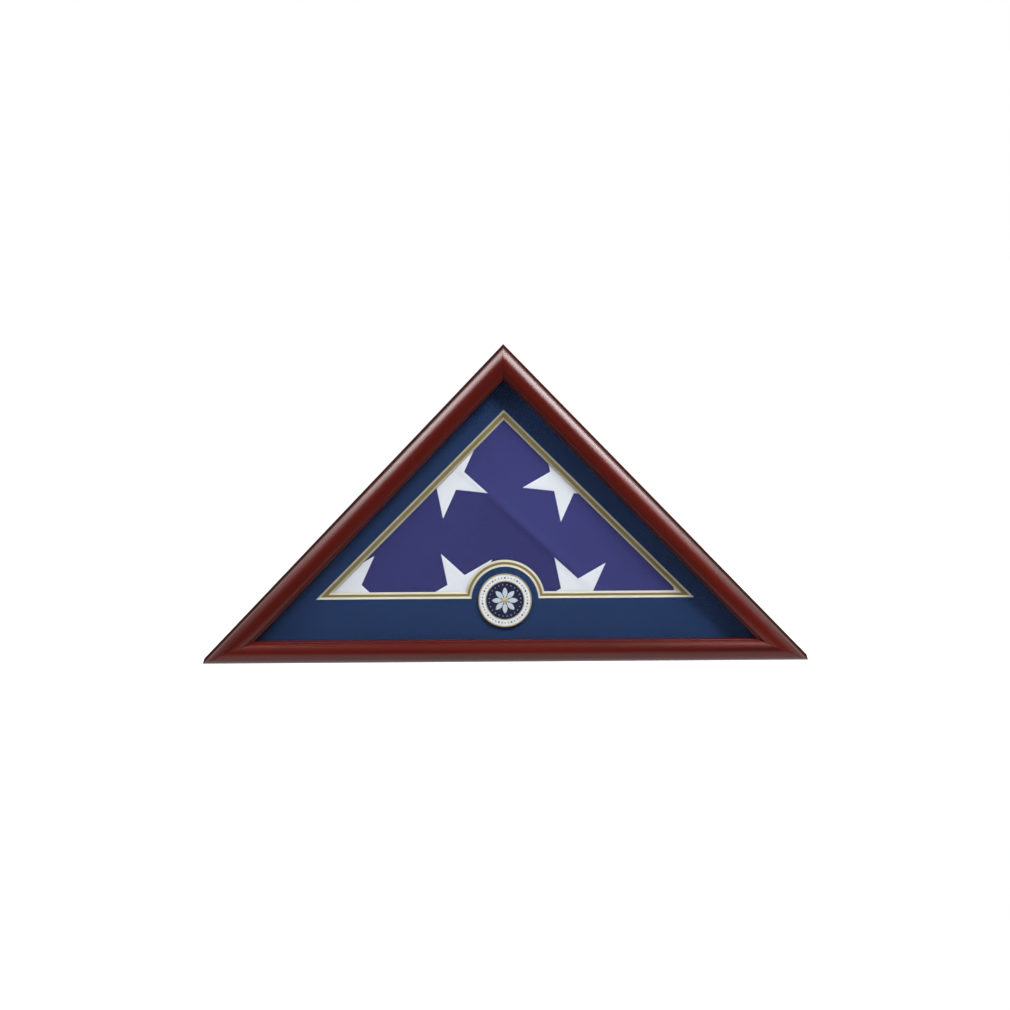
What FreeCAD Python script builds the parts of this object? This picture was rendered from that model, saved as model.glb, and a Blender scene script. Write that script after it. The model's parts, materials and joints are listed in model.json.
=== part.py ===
import FreeCAD, Part
import math
import os
import re

import Sketcher

# A triangular wooden case that shows a folded flag behind glass and a double mat.
# X runs to the right, Y from the front to the back, Z up; the case stands on Z = 0.
# Depths are measured back from the frontmost line of the moulding.
# Insets are measured inwards, square to an outer edge of the triangle.
SIZES = {
    "case_width": 648,
    "case_height": 336.5,
    "case_depth": 89,
    # Moulding round the front: rounded outer shoulder, softer inner slope, small bead at the glass.
    "moulding_width": 23.5,
    "moulding_depth": 38,
    "shoulder_radius": 11,
    "slope_radius": 13,
    "bead_width": 2.4,
    "bead_step": 1.2,
    "glass_rabbet_width": 8.6,
    "glass_rabbet_depth": 13,
    # Box behind the moulding.
    "board_thickness": 18,
    "panel_rabbet_width": 8,
    "panel_thickness": 4,
    "panel_clearance": 0.5,
    "panel_seat_gap": 0.1,
    "dowel_radius": 3,
    "dowel_length": 20,
    "dowel_inset": 7.2,
    "dowel_reach": 95,
    "spline_length": 14,
    "spline_width": 8,
    "spline_thickness": 3,
    "joinery_clearance": 0.1,
    "moulding_spline_depth": 15,
    "box_spline_depth": 60,
    # Glass, spacers and the two mats in the glass rabbet.
    "pane_clearance": 0.4,
    "glass_thickness": 2.4,
    "spacer_width": 5.6,
    "mat_thickness": 2.2,
    "window_base_height": 64.5,
    "window_apex_drop": 65.9,
    "window_corner_margin": 117.9,
    "tab_radius": 36,
    "reveal_at_legs": 4.4,
    "reveal_at_base": 2.7,
    # Medallion on the tab of the mat.
    "medallion_radius": 28.8,
    "medallion_thickness": 3.2,
    "medallion_rim_width": 1.4,
    "medallion_recess": 0.8,
    "medallion_fillet_radius": 20,
    "medallion_fillet_width": 1,
    "enamel_gap": 0.05,
    "enamel_depth": 0.7,
    "pad_radius": 21,
    "pad_thickness": 0.8,
    "rosette_radius": 14,
    "rosette_boss_radius": 3.6,
    "rosette_petal_root": 2.9,
    "rosette_petal_width": 5.2,
    "rosette_thickness": 0.7,
    "rosette_petals": 8,
    # Folded flag: a stack of triangular turns with a tucked flap on its face.
    "flag_side_gap": 14.5,
    "flag_seat_gap": 0.3,
    "flag_blunt": 6,
    "flag_turns": 14,
    "flag_edge_draw": 1.3,
    "flap_thickness": 1.6,
    "flap_margin": 88,
    "flap_edge_inset": 4,
    # Fixed tip of the back, which carries the hanger, and the glue block behind its seam.
    "tip_margin": 1.5,
    "tip_seam": 0.5,
    "block_lap": 6,
    "block_depth": 24,
    # Turn buttons and their screws.
    "button_hub_radius": 4.6,
    "button_tip_radius": 3.8,
    "button_reach": 22,
    "button_thickness": 1.6,
    "button_gap": 0.2,
    "button_leg_reach": 110,
    "button_base_reach": 170,
    "screw_radius": 1.75,
    "screw_length": 14,
    "screw_clearance": 0.15,
    "screw_head_radius": 3.5,
    "screw_head_height": 2,
    # Sawtooth hanger and its nails.
    "hanger_half_length": 20,
    "hanger_bridge_half": 8.5,
    "hanger_ramp": 2.5,
    "hanger_height": 9,
    "hanger_metal": 0.9,
    "hanger_lift": 2,
    "tooth_count": 11,
    "tooth_pitch": 1.4,
    "tooth_depth": 1.6,
    "nail_spread": 15.5,
    "nail_margin": 3,
    "nail_radius": 0.9,
    "nail_length": 14,
    "nail_head_radius": 2,
    "nail_head_height": 1,
}

doc = FreeCAD.newDocument("flag_case")
sheet = doc.addObject("Spreadsheet::Sheet", "Sizes")
for row, (alias, value) in enumerate(SIZES.items(), start=1):
    sheet.set(f"A{row}", str(value))
    sheet.setAlias(f"A{row}", alias)
doc.recompute()

# Sizes that follow from the sheet, as expressions.
HALF = "(case_width/2)"
LEG = f"sqrt({HALF}^2 + case_height^2)"
APEX_HALF_ANGLE = f"atan({HALF}/case_height)"
BASE_HALF_ANGLE = f"(atan(case_height/{HALF})/2)"
FRONT = "-case_depth/2"
LAND = "(board_thickness - panel_rabbet_width)"
PANEL_FACE = "(case_depth - panel_thickness)"
GLASS_FACE = "(moulding_depth - glass_rabbet_depth)"
GLASS_WALL = "(moulding_width - glass_rabbet_width)"
PANE_INSET = f"({GLASS_WALL} + pane_clearance)"
GOLD_FACE = "(moulding_depth - mat_thickness)"
NAVY_FACE = "(moulding_depth - 2*mat_thickness)"
SPACER_FACE = f"({GLASS_FACE} + glass_thickness)"
BUTTON_FACE = "(case_depth + button_gap)"
PANEL_INSET = f"({LAND} + panel_clearance)"

SAME_POINT = 1e-6
LEAST_CUT = 1e-3

nodes = []


def bound(text):
    """The expression with each size's alias written as a cell of the sheet."""
    return re.sub(r"[a-z_]+", lambda m: f"Sizes.{m[0]}" if m[0] in SIZES else m[0], text)


def number(text):
    """The value of an expression, for drawing a sketch before it is constrained."""
    value = sheet.evalExpression(bound(text))
    return float(getattr(value, "Value", value))


def peak(inset):
    """Height of the apex of a triangle whose legs lie this far inside the case's."""
    return f"(case_height - ({inset})*{LEG}/{HALF})"


def reach(inset, level):
    """Half the width of that triangle at a height."""
    return f"(({peak(inset)} - ({level}))*{HALF}/case_height)"


def triangle(inset, base):
    return [
        (f"-{reach(inset, base)}", base),
        (reach(inset, base), base),
        ("0", peak(inset)),
    ]


def arc(x, y, centre, bow):
    """A corner whose edge to the next corner is an arc, bowed left (1) or right (-1)."""
    return (x, y, centre, bow)


# Sketches
def origin_feature(body, role):
    return next(f for f in body.Origin.OriginFeatures if f.Role == role)


def sketch_on(body, name, role, depth="0"):
    """A sketch on one of the body's origin planes; depth moves it along +Y from the XZ plane."""
    sketch = body.newObject("Sketcher::SketchObject", name)
    sketch.AttachmentSupport = [(origin_feature(body, role), "")]
    sketch.MapMode = "FlatFace"
    if depth != "0":
        sketch.setExpression("AttachmentOffset.Base.z", bound(f"-({depth})"))
    return sketch


def fix(sketch, kind, geometry, position, text):
    index = sketch.addConstraint(
        Sketcher.Constraint(kind, -1, 1, geometry, position, number(text))
    )
    sketch.setExpression(f"Constraints[{index}]", bound(text))


def draw_loop(sketch, corners):
    """Draws a closed outline of lines and arcs, with every corner fixed by the sheet."""
    spots = [FreeCAD.Vector(number(c[0]), number(c[1]), 0) for c in corners]
    ends = []
    for i, corner in enumerate(corners):
        start, end = spots[i], spots[(i + 1) % len(spots)]
        if len(corner) == 2:
            geometry = sketch.addGeometry(Part.LineSegment(start, end))
            ends.append((geometry, 1, 2))
            continue
        centre = FreeCAD.Vector(number(corner[2][0]), number(corner[2][1]), 0)
        along = (end - start).normalize()
        left = FreeCAD.Vector(-along.y, along.x, 0)
        middle = centre + left * (corner[3] * (start - centre).Length)
        geometry = sketch.addGeometry(Part.Arc(start, middle, end))
        forward = (sketch.getPoint(geometry, 1) - start).Length < SAME_POINT
        ends.append((geometry, 1, 2) if forward else (geometry, 2, 1))
    for i, corner in enumerate(corners):
        following = ends[(i + 1) % len(ends)]
        sketch.addConstraint(
            Sketcher.Constraint("Coincident", ends[i][0], ends[i][2], following[0], following[1])
        )
    for (geometry, start, _), corner in zip(ends, corners):
        fix(sketch, "DistanceX", geometry, start, corner[0])
        fix(sketch, "DistanceY", geometry, start, corner[1])
        if len(corner) == 4:
            fix(sketch, "DistanceY", geometry, 3, corner[2][1])


def draw_circle(sketch, x, y, radius):
    circle = Part.Circle(
        FreeCAD.Vector(number(x), number(y), 0), FreeCAD.Vector(0, 0, 1), number(radius)
    )
    geometry = sketch.addGeometry(circle)
    fix(sketch, "DistanceX", geometry, 3, x)
    fix(sketch, "DistanceY", geometry, 3, y)
    index = sketch.addConstraint(Sketcher.Constraint("Radius", geometry, number(radius)))
    sketch.setExpression(f"Constraints[{index}]", bound(radius))


def face_sketch(body, name, depth, loops=(), circles=()):
    """A sketch seen from the front, X across and Z up, at a depth."""
    sketch = sketch_on(body, name, "XZ_Plane", depth)
    for corners in loops:
        draw_loop(sketch, corners)
    for circle in circles:
        draw_circle(sketch, *circle)
    return sketch


# Features
def new_body(label):
    body = doc.addObject("PartDesign::Body", label)
    body.Label = label
    return body


def pad_back(body, name, sketch, length):
    """Pads a front-view sketch towards the back."""
    pad = body.newObject("PartDesign::Pad", name)
    pad.Profile = sketch
    pad.Reversed = True
    pad.setExpression("Length", bound(length))
    return pad


def pad_both_ways(body, name, sketch, length):
    pad = body.newObject("PartDesign::Pad", name)
    pad.Profile = sketch
    pad.SideType = "Symmetric"
    pad.setExpression("Length", bound(length))
    return pad


def cut_through(body, name, sketch):
    pocket = body.newObject("PartDesign::Pocket", name)
    pocket.Profile = sketch
    pocket.Type = "ThroughAll"
    pocket.SideType = "Symmetric"
    return pocket


def cut_into(body, name, sketch, length, forwards=False):
    """Cuts a front-view sketch towards the back, or towards the front."""
    pocket = body.newObject("PartDesign::Pocket", name)
    pocket.Profile = sketch
    pocket.Reversed = forwards
    pocket.setExpression("Length", bound(length))
    return pocket


def turn_profile(body, name, corners):
    """A solid of revolution about Y, from a profile of radius and depth."""
    sketch = sketch_on(body, f"{name}_profile", "XY_Plane")
    draw_loop(sketch, corners)
    solid = body.newObject("PartDesign::Revolution", name)
    solid.Profile = sketch
    solid.ReferenceAxis = (origin_feature(body, "Y_Axis"), [""])
    solid.Angle = 360
    return solid


def place(item, x, y, z, turn="0 deg"):
    """Sets a piece at a point, turned about Y; the first turn only gives the rotation its axis."""
    item.Placement = FreeCAD.Placement(
        FreeCAD.Vector(0, 0, 0), FreeCAD.Rotation(FreeCAD.Vector(0, 1, 0), 1)
    )
    item.setExpression("Placement.Base.x", bound(x))
    item.setExpression("Placement.Base.y", bound(y))
    item.setExpression("Placement.Base.z", bound(z))
    item.setExpression("Placement.Rotation.Angle", bound(turn))


def keep(item, label):
    item.Label = label
    nodes.append(item)


def keep_group(items, label):
    group = doc.addObject("Part::Compound", label)
    group.Links = items
    keep(group, label)


# The three sides of the triangle. A side's own X runs along its outer edge, from its middle,
# and its own Z runs inwards. A mitre's run is its length along the edge for each unit of inset.
# At rest the two turn buttons of a side point along its X, or back along it.
BASE_MITRE = {"run": f"(({LEG} + {HALF})/case_height)", "half": BASE_HALF_ANGLE}
APEX_MITRE = {"run": f"(case_height/{HALF})", "half": APEX_HALF_ANGLE}
SIDES = {
    "left": {
        "x": f"-{HALF}/2",
        "z": "case_height/2",
        "turn": f"(90 deg + {APEX_HALF_ANGLE})",
        "length": LEG,
        "mitres": {-1: APEX_MITRE, 1: BASE_MITRE},
        "buttons": {-1: "along", 1: "along"},
    },
    "right": {
        "x": f"{HALF}/2",
        "z": "case_height/2",
        "turn": f"(-90 deg - {APEX_HALF_ANGLE})",
        "length": LEG,
        "mitres": {-1: BASE_MITRE, 1: APEX_MITRE},
        "buttons": {-1: "back", 1: "back"},
    },
    "bottom": {
        "x": "0",
        "z": "0",
        "turn": "0 deg",
        "length": "case_width",
        "mitres": {-1: BASE_MITRE, 1: BASE_MITRE},
        "buttons": {-1: "along", 1: "back"},
    },
}


def spot(side, along, inset):
    """A point of a side in the case's own X and Z."""
    return (
        f"({side['x']} + ({along})*cos({side['turn']}) + ({inset})*sin({side['turn']}))",
        f"({side['z']} - ({along})*sin({side['turn']}) + ({inset})*cos({side['turn']}))",
    )


def on_side(side, x, z):
    """A point of the case in a side's own X and Z."""
    across, up = f"({x} - ({side['x']}))", f"({z} - ({side['z']}))"
    return (
        f"({across}*cos({side['turn']}) - {up}*sin({side['turn']}))",
        f"({across}*sin({side['turn']}) + {up}*cos({side['turn']}))",
    )


def mitred_strip(label, side, profile, width):
    """A strip of one section, mitred at both ends and set on its side of the triangle."""
    body = new_body(label)
    section = sketch_on(body, f"{label}_section", "YZ_Plane")
    draw_loop(section, profile)
    pad_both_ways(body, f"{label}_length", section, side["length"])
    mitres = sketch_on(body, f"{label}_mitres", "XZ_Plane")
    top = f"(2*({width}))"
    for end, mitre in side["mitres"].items():
        tip = f"({end}*{side['length']}/2)"
        back = f"({tip} - {end}*{top}*{mitre['run']})"
        draw_loop(mitres, [(tip, "0"), (tip, top), (back, top)])
    cut_through(body, f"{label}_ends", mitres)
    place(body, side["x"], FRONT, side["z"], side["turn"])
    return body


def spline_slots(body, side, width, depth):
    """Slots across both mitres that take half of a loose tongue each."""
    loops = []
    for end, mitre in side["mitres"].items():
        middle = f"({width}/2/sin({mitre['half']}))"
        corners = []
        for along, across in ((-1, -1), (1, -1), (1, 1), (-1, 1)):
            step = f"({middle} + {along}*(spline_length/2 + joinery_clearance))"
            off = f"({across}*(spline_width/2 + joinery_clearance))"
            corners.append(
                (
                    f"{end}*({side['length']}/2 - {step}*cos({mitre['half']})"
                    f" - {off}*sin({mitre['half']}))",
                    f"({step}*sin({mitre['half']}) - {off}*cos({mitre['half']}))",
                )
            )
        loops.append(corners)
    slots = face_sketch(body, f"{body.Label}_slots", f"{depth} - joinery_clearance", loops)
    cut_into(body, f"{body.Label}_tongues", slots, "spline_thickness + 2*joinery_clearance")


def loose_tongues(label, width, depth):
    """One tongue across the mitre at each corner, from the corner inwards along its bisector."""
    corners = (
        (f"-{HALF}", "0", f"(0 deg - {BASE_HALF_ANGLE})", BASE_HALF_ANGLE),
        (HALF, "0", f"(180 deg + {BASE_HALF_ANGLE})", BASE_HALF_ANGLE),
        ("0", "case_height", "90 deg", APEX_HALF_ANGLE),
    )
    tongues = []
    for i, (x, z, turn, half) in enumerate(corners, start=1):
        tongue = doc.addObject("Part::Box", f"{label}_{i}")
        tongue.setExpression("Length", bound("spline_length"))
        tongue.setExpression("Width", bound("spline_thickness"))
        tongue.setExpression("Height", bound("spline_width"))
        start = f"({width}/2/sin({half}) - spline_length/2)"
        place(
            tongue,
            f"{x} + {start}*cos({turn}) - spline_width/2*sin({turn})",
            f"{FRONT} + {depth}",
            f"{z} - {start}*sin({turn}) - spline_width/2*cos({turn})",
            turn,
        )
        tongues.append(tongue)
    keep_group(tongues, label)


# Moulding: its section has depth across and inset up.
BEAD_INSET = "(moulding_width - bead_width)"
SLOPE_END = f"(slope_radius - sqrt(slope_radius^2 - ({BEAD_INSET} - shoulder_radius)^2))"
MOULDING = [
    ("moulding_depth", "0"),
    arc("shoulder_radius", "0", ("shoulder_radius", "shoulder_radius"), 1),
    arc("0", "shoulder_radius", ("slope_radius", "shoulder_radius"), 1),
    (SLOPE_END, BEAD_INSET),
    arc(
        f"({SLOPE_END} + bead_step)",
        BEAD_INSET,
        (f"({SLOPE_END} + bead_step + bead_width)", BEAD_INSET),
        1,
    ),
    (f"({SLOPE_END} + bead_step + bead_width)", "moulding_width"),
    (GLASS_FACE, "moulding_width"),
    (GLASS_FACE, GLASS_WALL),
    ("moulding_depth", GLASS_WALL),
]
BOARD = [
    ("moulding_depth", "0"),
    ("moulding_depth", "board_thickness"),
    (PANEL_FACE, "board_thickness"),
    (PANEL_FACE, LAND),
    ("case_depth", LAND),
    ("case_depth", "0"),
]
SPACER = [
    (SPACER_FACE, PANE_INSET),
    (SPACER_FACE, f"({PANE_INSET} + spacer_width)"),
    (NAVY_FACE, f"({PANE_INSET} + spacer_width)"),
    (NAVY_FACE, PANE_INSET),
]


def dowel_holes(body, forwards):
    """Blind holes from the joint between moulding and box, for the dowels that locate them."""
    radius = "dowel_radius + joinery_clearance"
    circles = [(f"{end}*dowel_reach", "dowel_inset", radius) for end in (-1, 1)]
    sketch = face_sketch(body, f"{body.Label}_dowel_spots", "moulding_depth", circles=circles)
    depth = "dowel_length/2 + joinery_clearance"
    cut_into(body, f"{body.Label}_dowel_holes", sketch, depth, forwards)


def button_reach_on(name):
    return "button_base_reach" if name == "bottom" else "button_leg_reach"


def screw_holes(body, name):
    """Pilot holes for the turn buttons' screws, in the land beside the back panel."""
    along = button_reach_on(name)
    circles = [(f"{end}*{along}", f"{LAND}/2", "screw_radius + joinery_clearance") for end in (-1, 1)]
    sketch = face_sketch(body, f"{body.Label}_screw_spots", "case_depth", circles=circles)
    cut_into(body, f"{body.Label}_pilots", sketch, "screw_length", forwards=True)


# The hanger sits where its nails are just clear of the fixed tip's sloping edges.
HANGER_LEVEL = f"({peak(PANEL_INSET)} - (nail_spread + nail_margin)*case_height/{HALF})"
TIP_BASE = f"({HANGER_LEVEL} - hanger_height/2 - tip_margin)"


def nail_hole(body, side, end):
    """A hole for one nail of the hanger, under the fixed tip of the back."""
    x, z = on_side(side, f"{end}*nail_spread", HANGER_LEVEL)
    circles = [(x, z, "nail_radius + joinery_clearance")]
    sketch = face_sketch(body, f"{body.Label}_nail_spot", PANEL_FACE, circles=circles)
    cut_into(body, f"{body.Label}_nail_hole", sketch, "nail_length", forwards=True)


for name, side in SIDES.items():
    moulding = mitred_strip(f"{name}_moulding", side, MOULDING, "moulding_width")
    spline_slots(moulding, side, "moulding_width", "moulding_spline_depth")
    dowel_holes(moulding, forwards=True)
    keep(moulding, f"{name}_moulding")

    board = mitred_strip(f"{name}_box_board", side, BOARD, "board_thickness")
    spline_slots(board, side, "board_thickness", "box_spline_depth")
    dowel_holes(board, forwards=False)
    screw_holes(board, name)
    if name != "bottom":
        nail_hole(board, side, -1 if name == "left" else 1)
    keep(board, f"{name}_box_board")

    spacer = mitred_strip(f"{name}_spacer", side, SPACER, f"({PANE_INSET} + spacer_width)")
    keep(spacer, f"{name}_spacer")

loose_tongues("moulding_tongues", "moulding_width", "moulding_spline_depth")
loose_tongues("box_tongues", "board_thickness", "box_spline_depth")

dowels = []
for name, side in SIDES.items():
    for end in (-1, 1):
        dowel = doc.addObject("Part::Cylinder", f"{name}_dowel")
        dowel.setExpression("Radius", bound("dowel_radius"))
        dowel.setExpression("Height", bound("dowel_length"))
        x, z = spot(side, f"{end}*dowel_reach", "dowel_inset")
        dowel.Placement.Rotation = FreeCAD.Rotation(FreeCAD.Vector(1, 0, 0), -90)
        dowel.setExpression("Placement.Base.x", bound(x))
        dowel.setExpression("Placement.Base.y", bound(f"{FRONT} + moulding_depth - dowel_length/2"))
        dowel.setExpression("Placement.Base.z", bound(z))
        dowels.append(dowel)
keep_group(dowels, "frame_dowels")


# Glass and mats
glass = new_body("glass_pane")
outline = face_sketch(glass, "glass_outline", GLASS_FACE, [triangle(PANE_INSET, PANE_INSET)])
pad_back(glass, "glass_sheet", outline, "glass_thickness")
place(glass, "0", FRONT, "0")
keep(glass, "glass_pane")


WINDOW_HALF = f"({HALF} - window_corner_margin)"
WINDOW_RISE = "(case_height - window_apex_drop - window_base_height)"


def window(draw, base, radius):
    """The window's triangle, its legs drawn in, with a round tab in the middle of its base."""
    leg = f"sqrt({WINDOW_HALF}^2 + {WINDOW_RISE}^2)"
    top = f"(case_height - window_apex_drop - ({draw})*{leg}/{WINDOW_HALF})"
    corner = f"(({top} - ({base}))*{WINDOW_HALF}/{WINDOW_RISE})"
    side = f"sqrt(({radius})^2 - ({base} - window_base_height)^2)"
    return [
        (f"-{corner}", base),
        arc(f"-{side}", base, ("0", "window_base_height"), 1),
        (side, base),
        (corner, base),
        ("0", top),
    ]


def cut_mat(label, face, draw, base, radius):
    """A mat board whose window is cut on a 45 degree bevel that faces the front."""
    body = new_body(label)
    outline = face_sketch(body, f"{label}_outline", face, [triangle(PANE_INSET, PANE_INSET)])
    pad_back(body, f"{label}_board", outline, "mat_thickness")
    front = face_sketch(body, f"{label}_window", face, [window(draw, base, radius)])
    deep = [window(*(f"({size} + mat_thickness)" for size in (draw, base, radius)))]
    back = face_sketch(body, f"{label}_window_back", f"({face} + mat_thickness)", deep)
    bevel = body.newObject("PartDesign::SubtractiveLoft", f"{label}_bevel")
    bevel.Profile = front
    bevel.Sections = [back]
    bevel.Ruled = True
    place(body, "0", FRONT, "0")
    keep(body, label)


GOLD_DRAW = "(mat_thickness + reveal_at_legs)"
GOLD_BASE = "(window_base_height + mat_thickness + reveal_at_base)"
GOLD_TAB = "(tab_radius + mat_thickness + reveal_at_base)"
cut_mat("navy_mat", NAVY_FACE, "0", "window_base_height", "tab_radius")
cut_mat("gold_mat", GOLD_FACE, GOLD_DRAW, GOLD_BASE, GOLD_TAB)


# Medallion: depths run back from the front of its rim.
RIM = "(medallion_radius - medallion_rim_width)"
RING_INNER = "(medallion_fillet_radius + medallion_fillet_width)"
ENAMEL_FACE = "(medallion_recess - enamel_depth)"
MEDALLION_FACE = f"({NAVY_FACE} - pad_thickness - medallion_thickness)"


def set_on_tab(body, label):
    place(body, "0", f"{FRONT} + {MEDALLION_FACE}", "window_base_height")
    keep(body, label)


disc = new_body("medallion_disc")
turn_profile(
    disc,
    "medallion_coin",
    [
        ("0", "medallion_recess"),
        ("medallion_fillet_radius", "medallion_recess"),
        ("medallion_fillet_radius", "0"),
        (RING_INNER, "0"),
        (RING_INNER, "medallion_recess"),
        (RIM, "medallion_recess"),
        (RIM, "0"),
        ("medallion_radius", "0"),
        ("medallion_radius", "medallion_thickness"),
        ("0", "medallion_thickness"),
    ],
)
set_on_tab(disc, "medallion_disc")

ring = new_body("medallion_ring")
turn_profile(
    ring,
    "ring_enamel",
    [
        (f"{RING_INNER} + enamel_gap", ENAMEL_FACE),
        (f"{RIM} - enamel_gap", ENAMEL_FACE),
        (f"{RIM} - enamel_gap", "medallion_recess"),
        (f"{RING_INNER} + enamel_gap", "medallion_recess"),
    ],
)
set_on_tab(ring, "medallion_ring")

centre = new_body("medallion_centre")
turn_profile(
    centre,
    "centre_enamel",
    [
        ("0", ENAMEL_FACE),
        ("medallion_fillet_radius - enamel_gap", ENAMEL_FACE),
        ("medallion_fillet_radius - enamel_gap", "medallion_recess"),
        ("0", "medallion_recess"),
    ],
)
set_on_tab(centre, "medallion_centre")

rosette = new_body("medallion_rosette")
ROSETTE_FACE = f"({ENAMEL_FACE} - rosette_thickness)"
boss = face_sketch(rosette, "boss_outline", ROSETTE_FACE, circles=[("0", "0", "rosette_boss_radius")])
pad_back(rosette, "rosette_boss", boss, "rosette_thickness")
SPREAD = "((rosette_radius - rosette_petal_root)/2)"
# Each side of a petal is an arc through its root and tip, bowed out by half the petal's width.
SIDE_RADIUS = f"(({SPREAD}^2 + (rosette_petal_width/2)^2)/rosette_petal_width)"
SIDE_CENTRE = f"({SIDE_RADIUS} - rosette_petal_width/2)"
PETAL_MIDDLE = f"(rosette_petal_root + {SPREAD})"
petal = face_sketch(
    rosette,
    "petal_outline",
    ROSETTE_FACE,
    [
        [
            arc("rosette_petal_root", "0", (PETAL_MIDDLE, f"-{SIDE_CENTRE}"), 1),
            arc("rosette_radius", "0", (PETAL_MIDDLE, SIDE_CENTRE), 1),
        ]
    ],
)
first_petal = pad_back(rosette, "rosette_petal", petal, "rosette_thickness")
petals = rosette.newObject("PartDesign::PolarPattern", "rosette_ring")
petals.Originals = [first_petal]
petals.Axis = (origin_feature(rosette, "Y_Axis"), [""])
petals.Angle = 360
petals.setExpression("Occurrences", bound("rosette_petals"))
rosette.Tip = petals
set_on_tab(rosette, "medallion_rosette")

pad = new_body("medallion_pad")
pad_spot = face_sketch(pad, "pad_outline", "medallion_thickness", circles=[("0", "0", "pad_radius")])
pad_back(pad, "pad_tape", pad_spot, "pad_thickness")
set_on_tab(pad, "medallion_pad")


# Folded flag: each turn swells to its full outline halfway through its thickness.
FLAG_INSET = "(board_thickness + flag_side_gap)"
FLAG_BASE = "(board_thickness + flag_seat_gap)"
FLAG_FACE = "(moulding_depth + flag_seat_gap + flap_thickness)"
TURN = f"(({PANEL_FACE} - panel_seat_gap - flag_seat_gap - {FLAG_FACE})/flag_turns)"


def folded_outline(draw):
    """The flag's triangle with blunt corners, drawn in by a little from its full size."""
    inset = f"({FLAG_INSET} + {draw})"
    base = f"({FLAG_BASE} + {draw})"
    top = f"({peak(inset)} - flag_blunt)"
    low = f"({base} + flag_blunt)"
    return [
        (f"-({reach(inset, base)} - flag_blunt)", base),
        (f"({reach(inset, base)} - flag_blunt)", base),
        (reach(inset, low), low),
        (reach(inset, top), top),
        (f"-{reach(inset, top)}", top),
        (f"-{reach(inset, low)}", low),
    ]


flag = new_body("folded_flag")
sections = []
for i, draw in enumerate(("flag_edge_draw", "0", "flag_edge_draw")):
    depth = f"({FLAG_FACE} + {i}*{TURN}/2)"
    sections.append(face_sketch(flag, f"flag_turn_{i}", depth, [folded_outline(draw)]))
first_turn = flag.newObject("PartDesign::AdditiveLoft", "flag_turn")
first_turn.Profile = sections[0]
first_turn.Sections = sections[1:]
first_turn.Ruled = True
stack = flag.newObject("PartDesign::LinearPattern", "flag_stack")
stack.Originals = [first_turn]
stack.Direction = (origin_feature(flag, "Y_Axis"), [""])
stack.Mode = "Spacing"
stack.setExpression("Offset", bound(TURN))
stack.setExpression("Occurrences", bound("flag_turns"))
flag.Tip = stack
# The last flap lies on the face, between a fold parallel to the right leg and that leg.
FLAP_LEG = f"({FLAG_INSET} + flag_edge_draw + flap_edge_inset)"
FLAP_FOLD = f"({FLAG_INSET} + flap_margin)"
FLAP_BASE = f"({FLAG_BASE} + flag_edge_draw + flap_edge_inset)"
FLAP_TOP = f"({peak(FLAP_LEG)} - flag_blunt)"
FLAP_LEFT_TOP = f"(({peak(FLAP_LEG)} + {peak(FLAP_FOLD)})/2)"
FLAP_LEFT = f"(({peak(FLAP_LEG)} - {peak(FLAP_FOLD)})/2*{HALF}/case_height)"
flap = face_sketch(
    flag,
    "flap_outline",
    f"({FLAG_FACE} - flap_thickness)",
    [
        [
            (reach(FLAP_FOLD, FLAP_BASE), FLAP_BASE),
            (f"({reach(FLAP_LEG, FLAP_BASE)} - flag_blunt)", FLAP_BASE),
            (reach(FLAP_LEG, FLAP_TOP), FLAP_TOP),
            (f"-{reach(FLAP_LEG, FLAP_TOP)}", FLAP_TOP),
            (f"-{FLAP_LEFT}", FLAP_LEFT_TOP),
        ]
    ],
)
flag.Tip = pad_back(flag, "flag_flap", flap, "flap_thickness")
place(flag, "0", FRONT, "0")
keep(flag, "folded_flag")


# Back panel, the fixed tip above it and the glue block behind both
PANEL_TOP = f"({TIP_BASE} - tip_seam)"
panel = new_body("back_panel")
panel_corners = [
    (f"-{reach(PANEL_INSET, PANEL_INSET)}", PANEL_INSET),
    (reach(PANEL_INSET, PANEL_INSET), PANEL_INSET),
    (reach(PANEL_INSET, PANEL_TOP), PANEL_TOP),
    (f"-{reach(PANEL_INSET, PANEL_TOP)}", PANEL_TOP),
]
outline = face_sketch(panel, "panel_outline", f"({PANEL_FACE} + panel_seat_gap)", [panel_corners])
pad_back(panel, "panel_sheet", outline, "panel_thickness - panel_seat_gap")
place(panel, "0", FRONT, "0")
keep(panel, "back_panel")

tip = new_body("back_tip")
nail_spots = [(f"{end}*nail_spread", HANGER_LEVEL, "nail_radius + joinery_clearance") for end in (-1, 1)]
outline = face_sketch(tip, "tip_outline", PANEL_FACE, [triangle(PANEL_INSET, TIP_BASE)])
pad_back(tip, "tip_sheet", outline, "panel_thickness")
cut_through(tip, "tip_nail_holes", face_sketch(tip, "tip_nail_spots", PANEL_FACE, circles=nail_spots))
place(tip, "0", FRONT, "0")
keep(tip, "back_tip")

block = new_body("apex_block")
BLOCK_INSET = "(board_thickness + joinery_clearance)"
outline = face_sketch(
    block,
    "block_outline",
    f"({PANEL_FACE} - block_depth)",
    [triangle(BLOCK_INSET, f"({TIP_BASE} - block_lap)")],
)
pad_back(block, "block_length", outline, "block_depth")
place(block, "0", FRONT, "0")
keep(block, "apex_block")


# Turn buttons: at rest each lies along its board, and a quarter turn brings it over the panel.
TAPER = "acos((button_hub_radius - button_tip_radius)/button_reach)"


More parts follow.
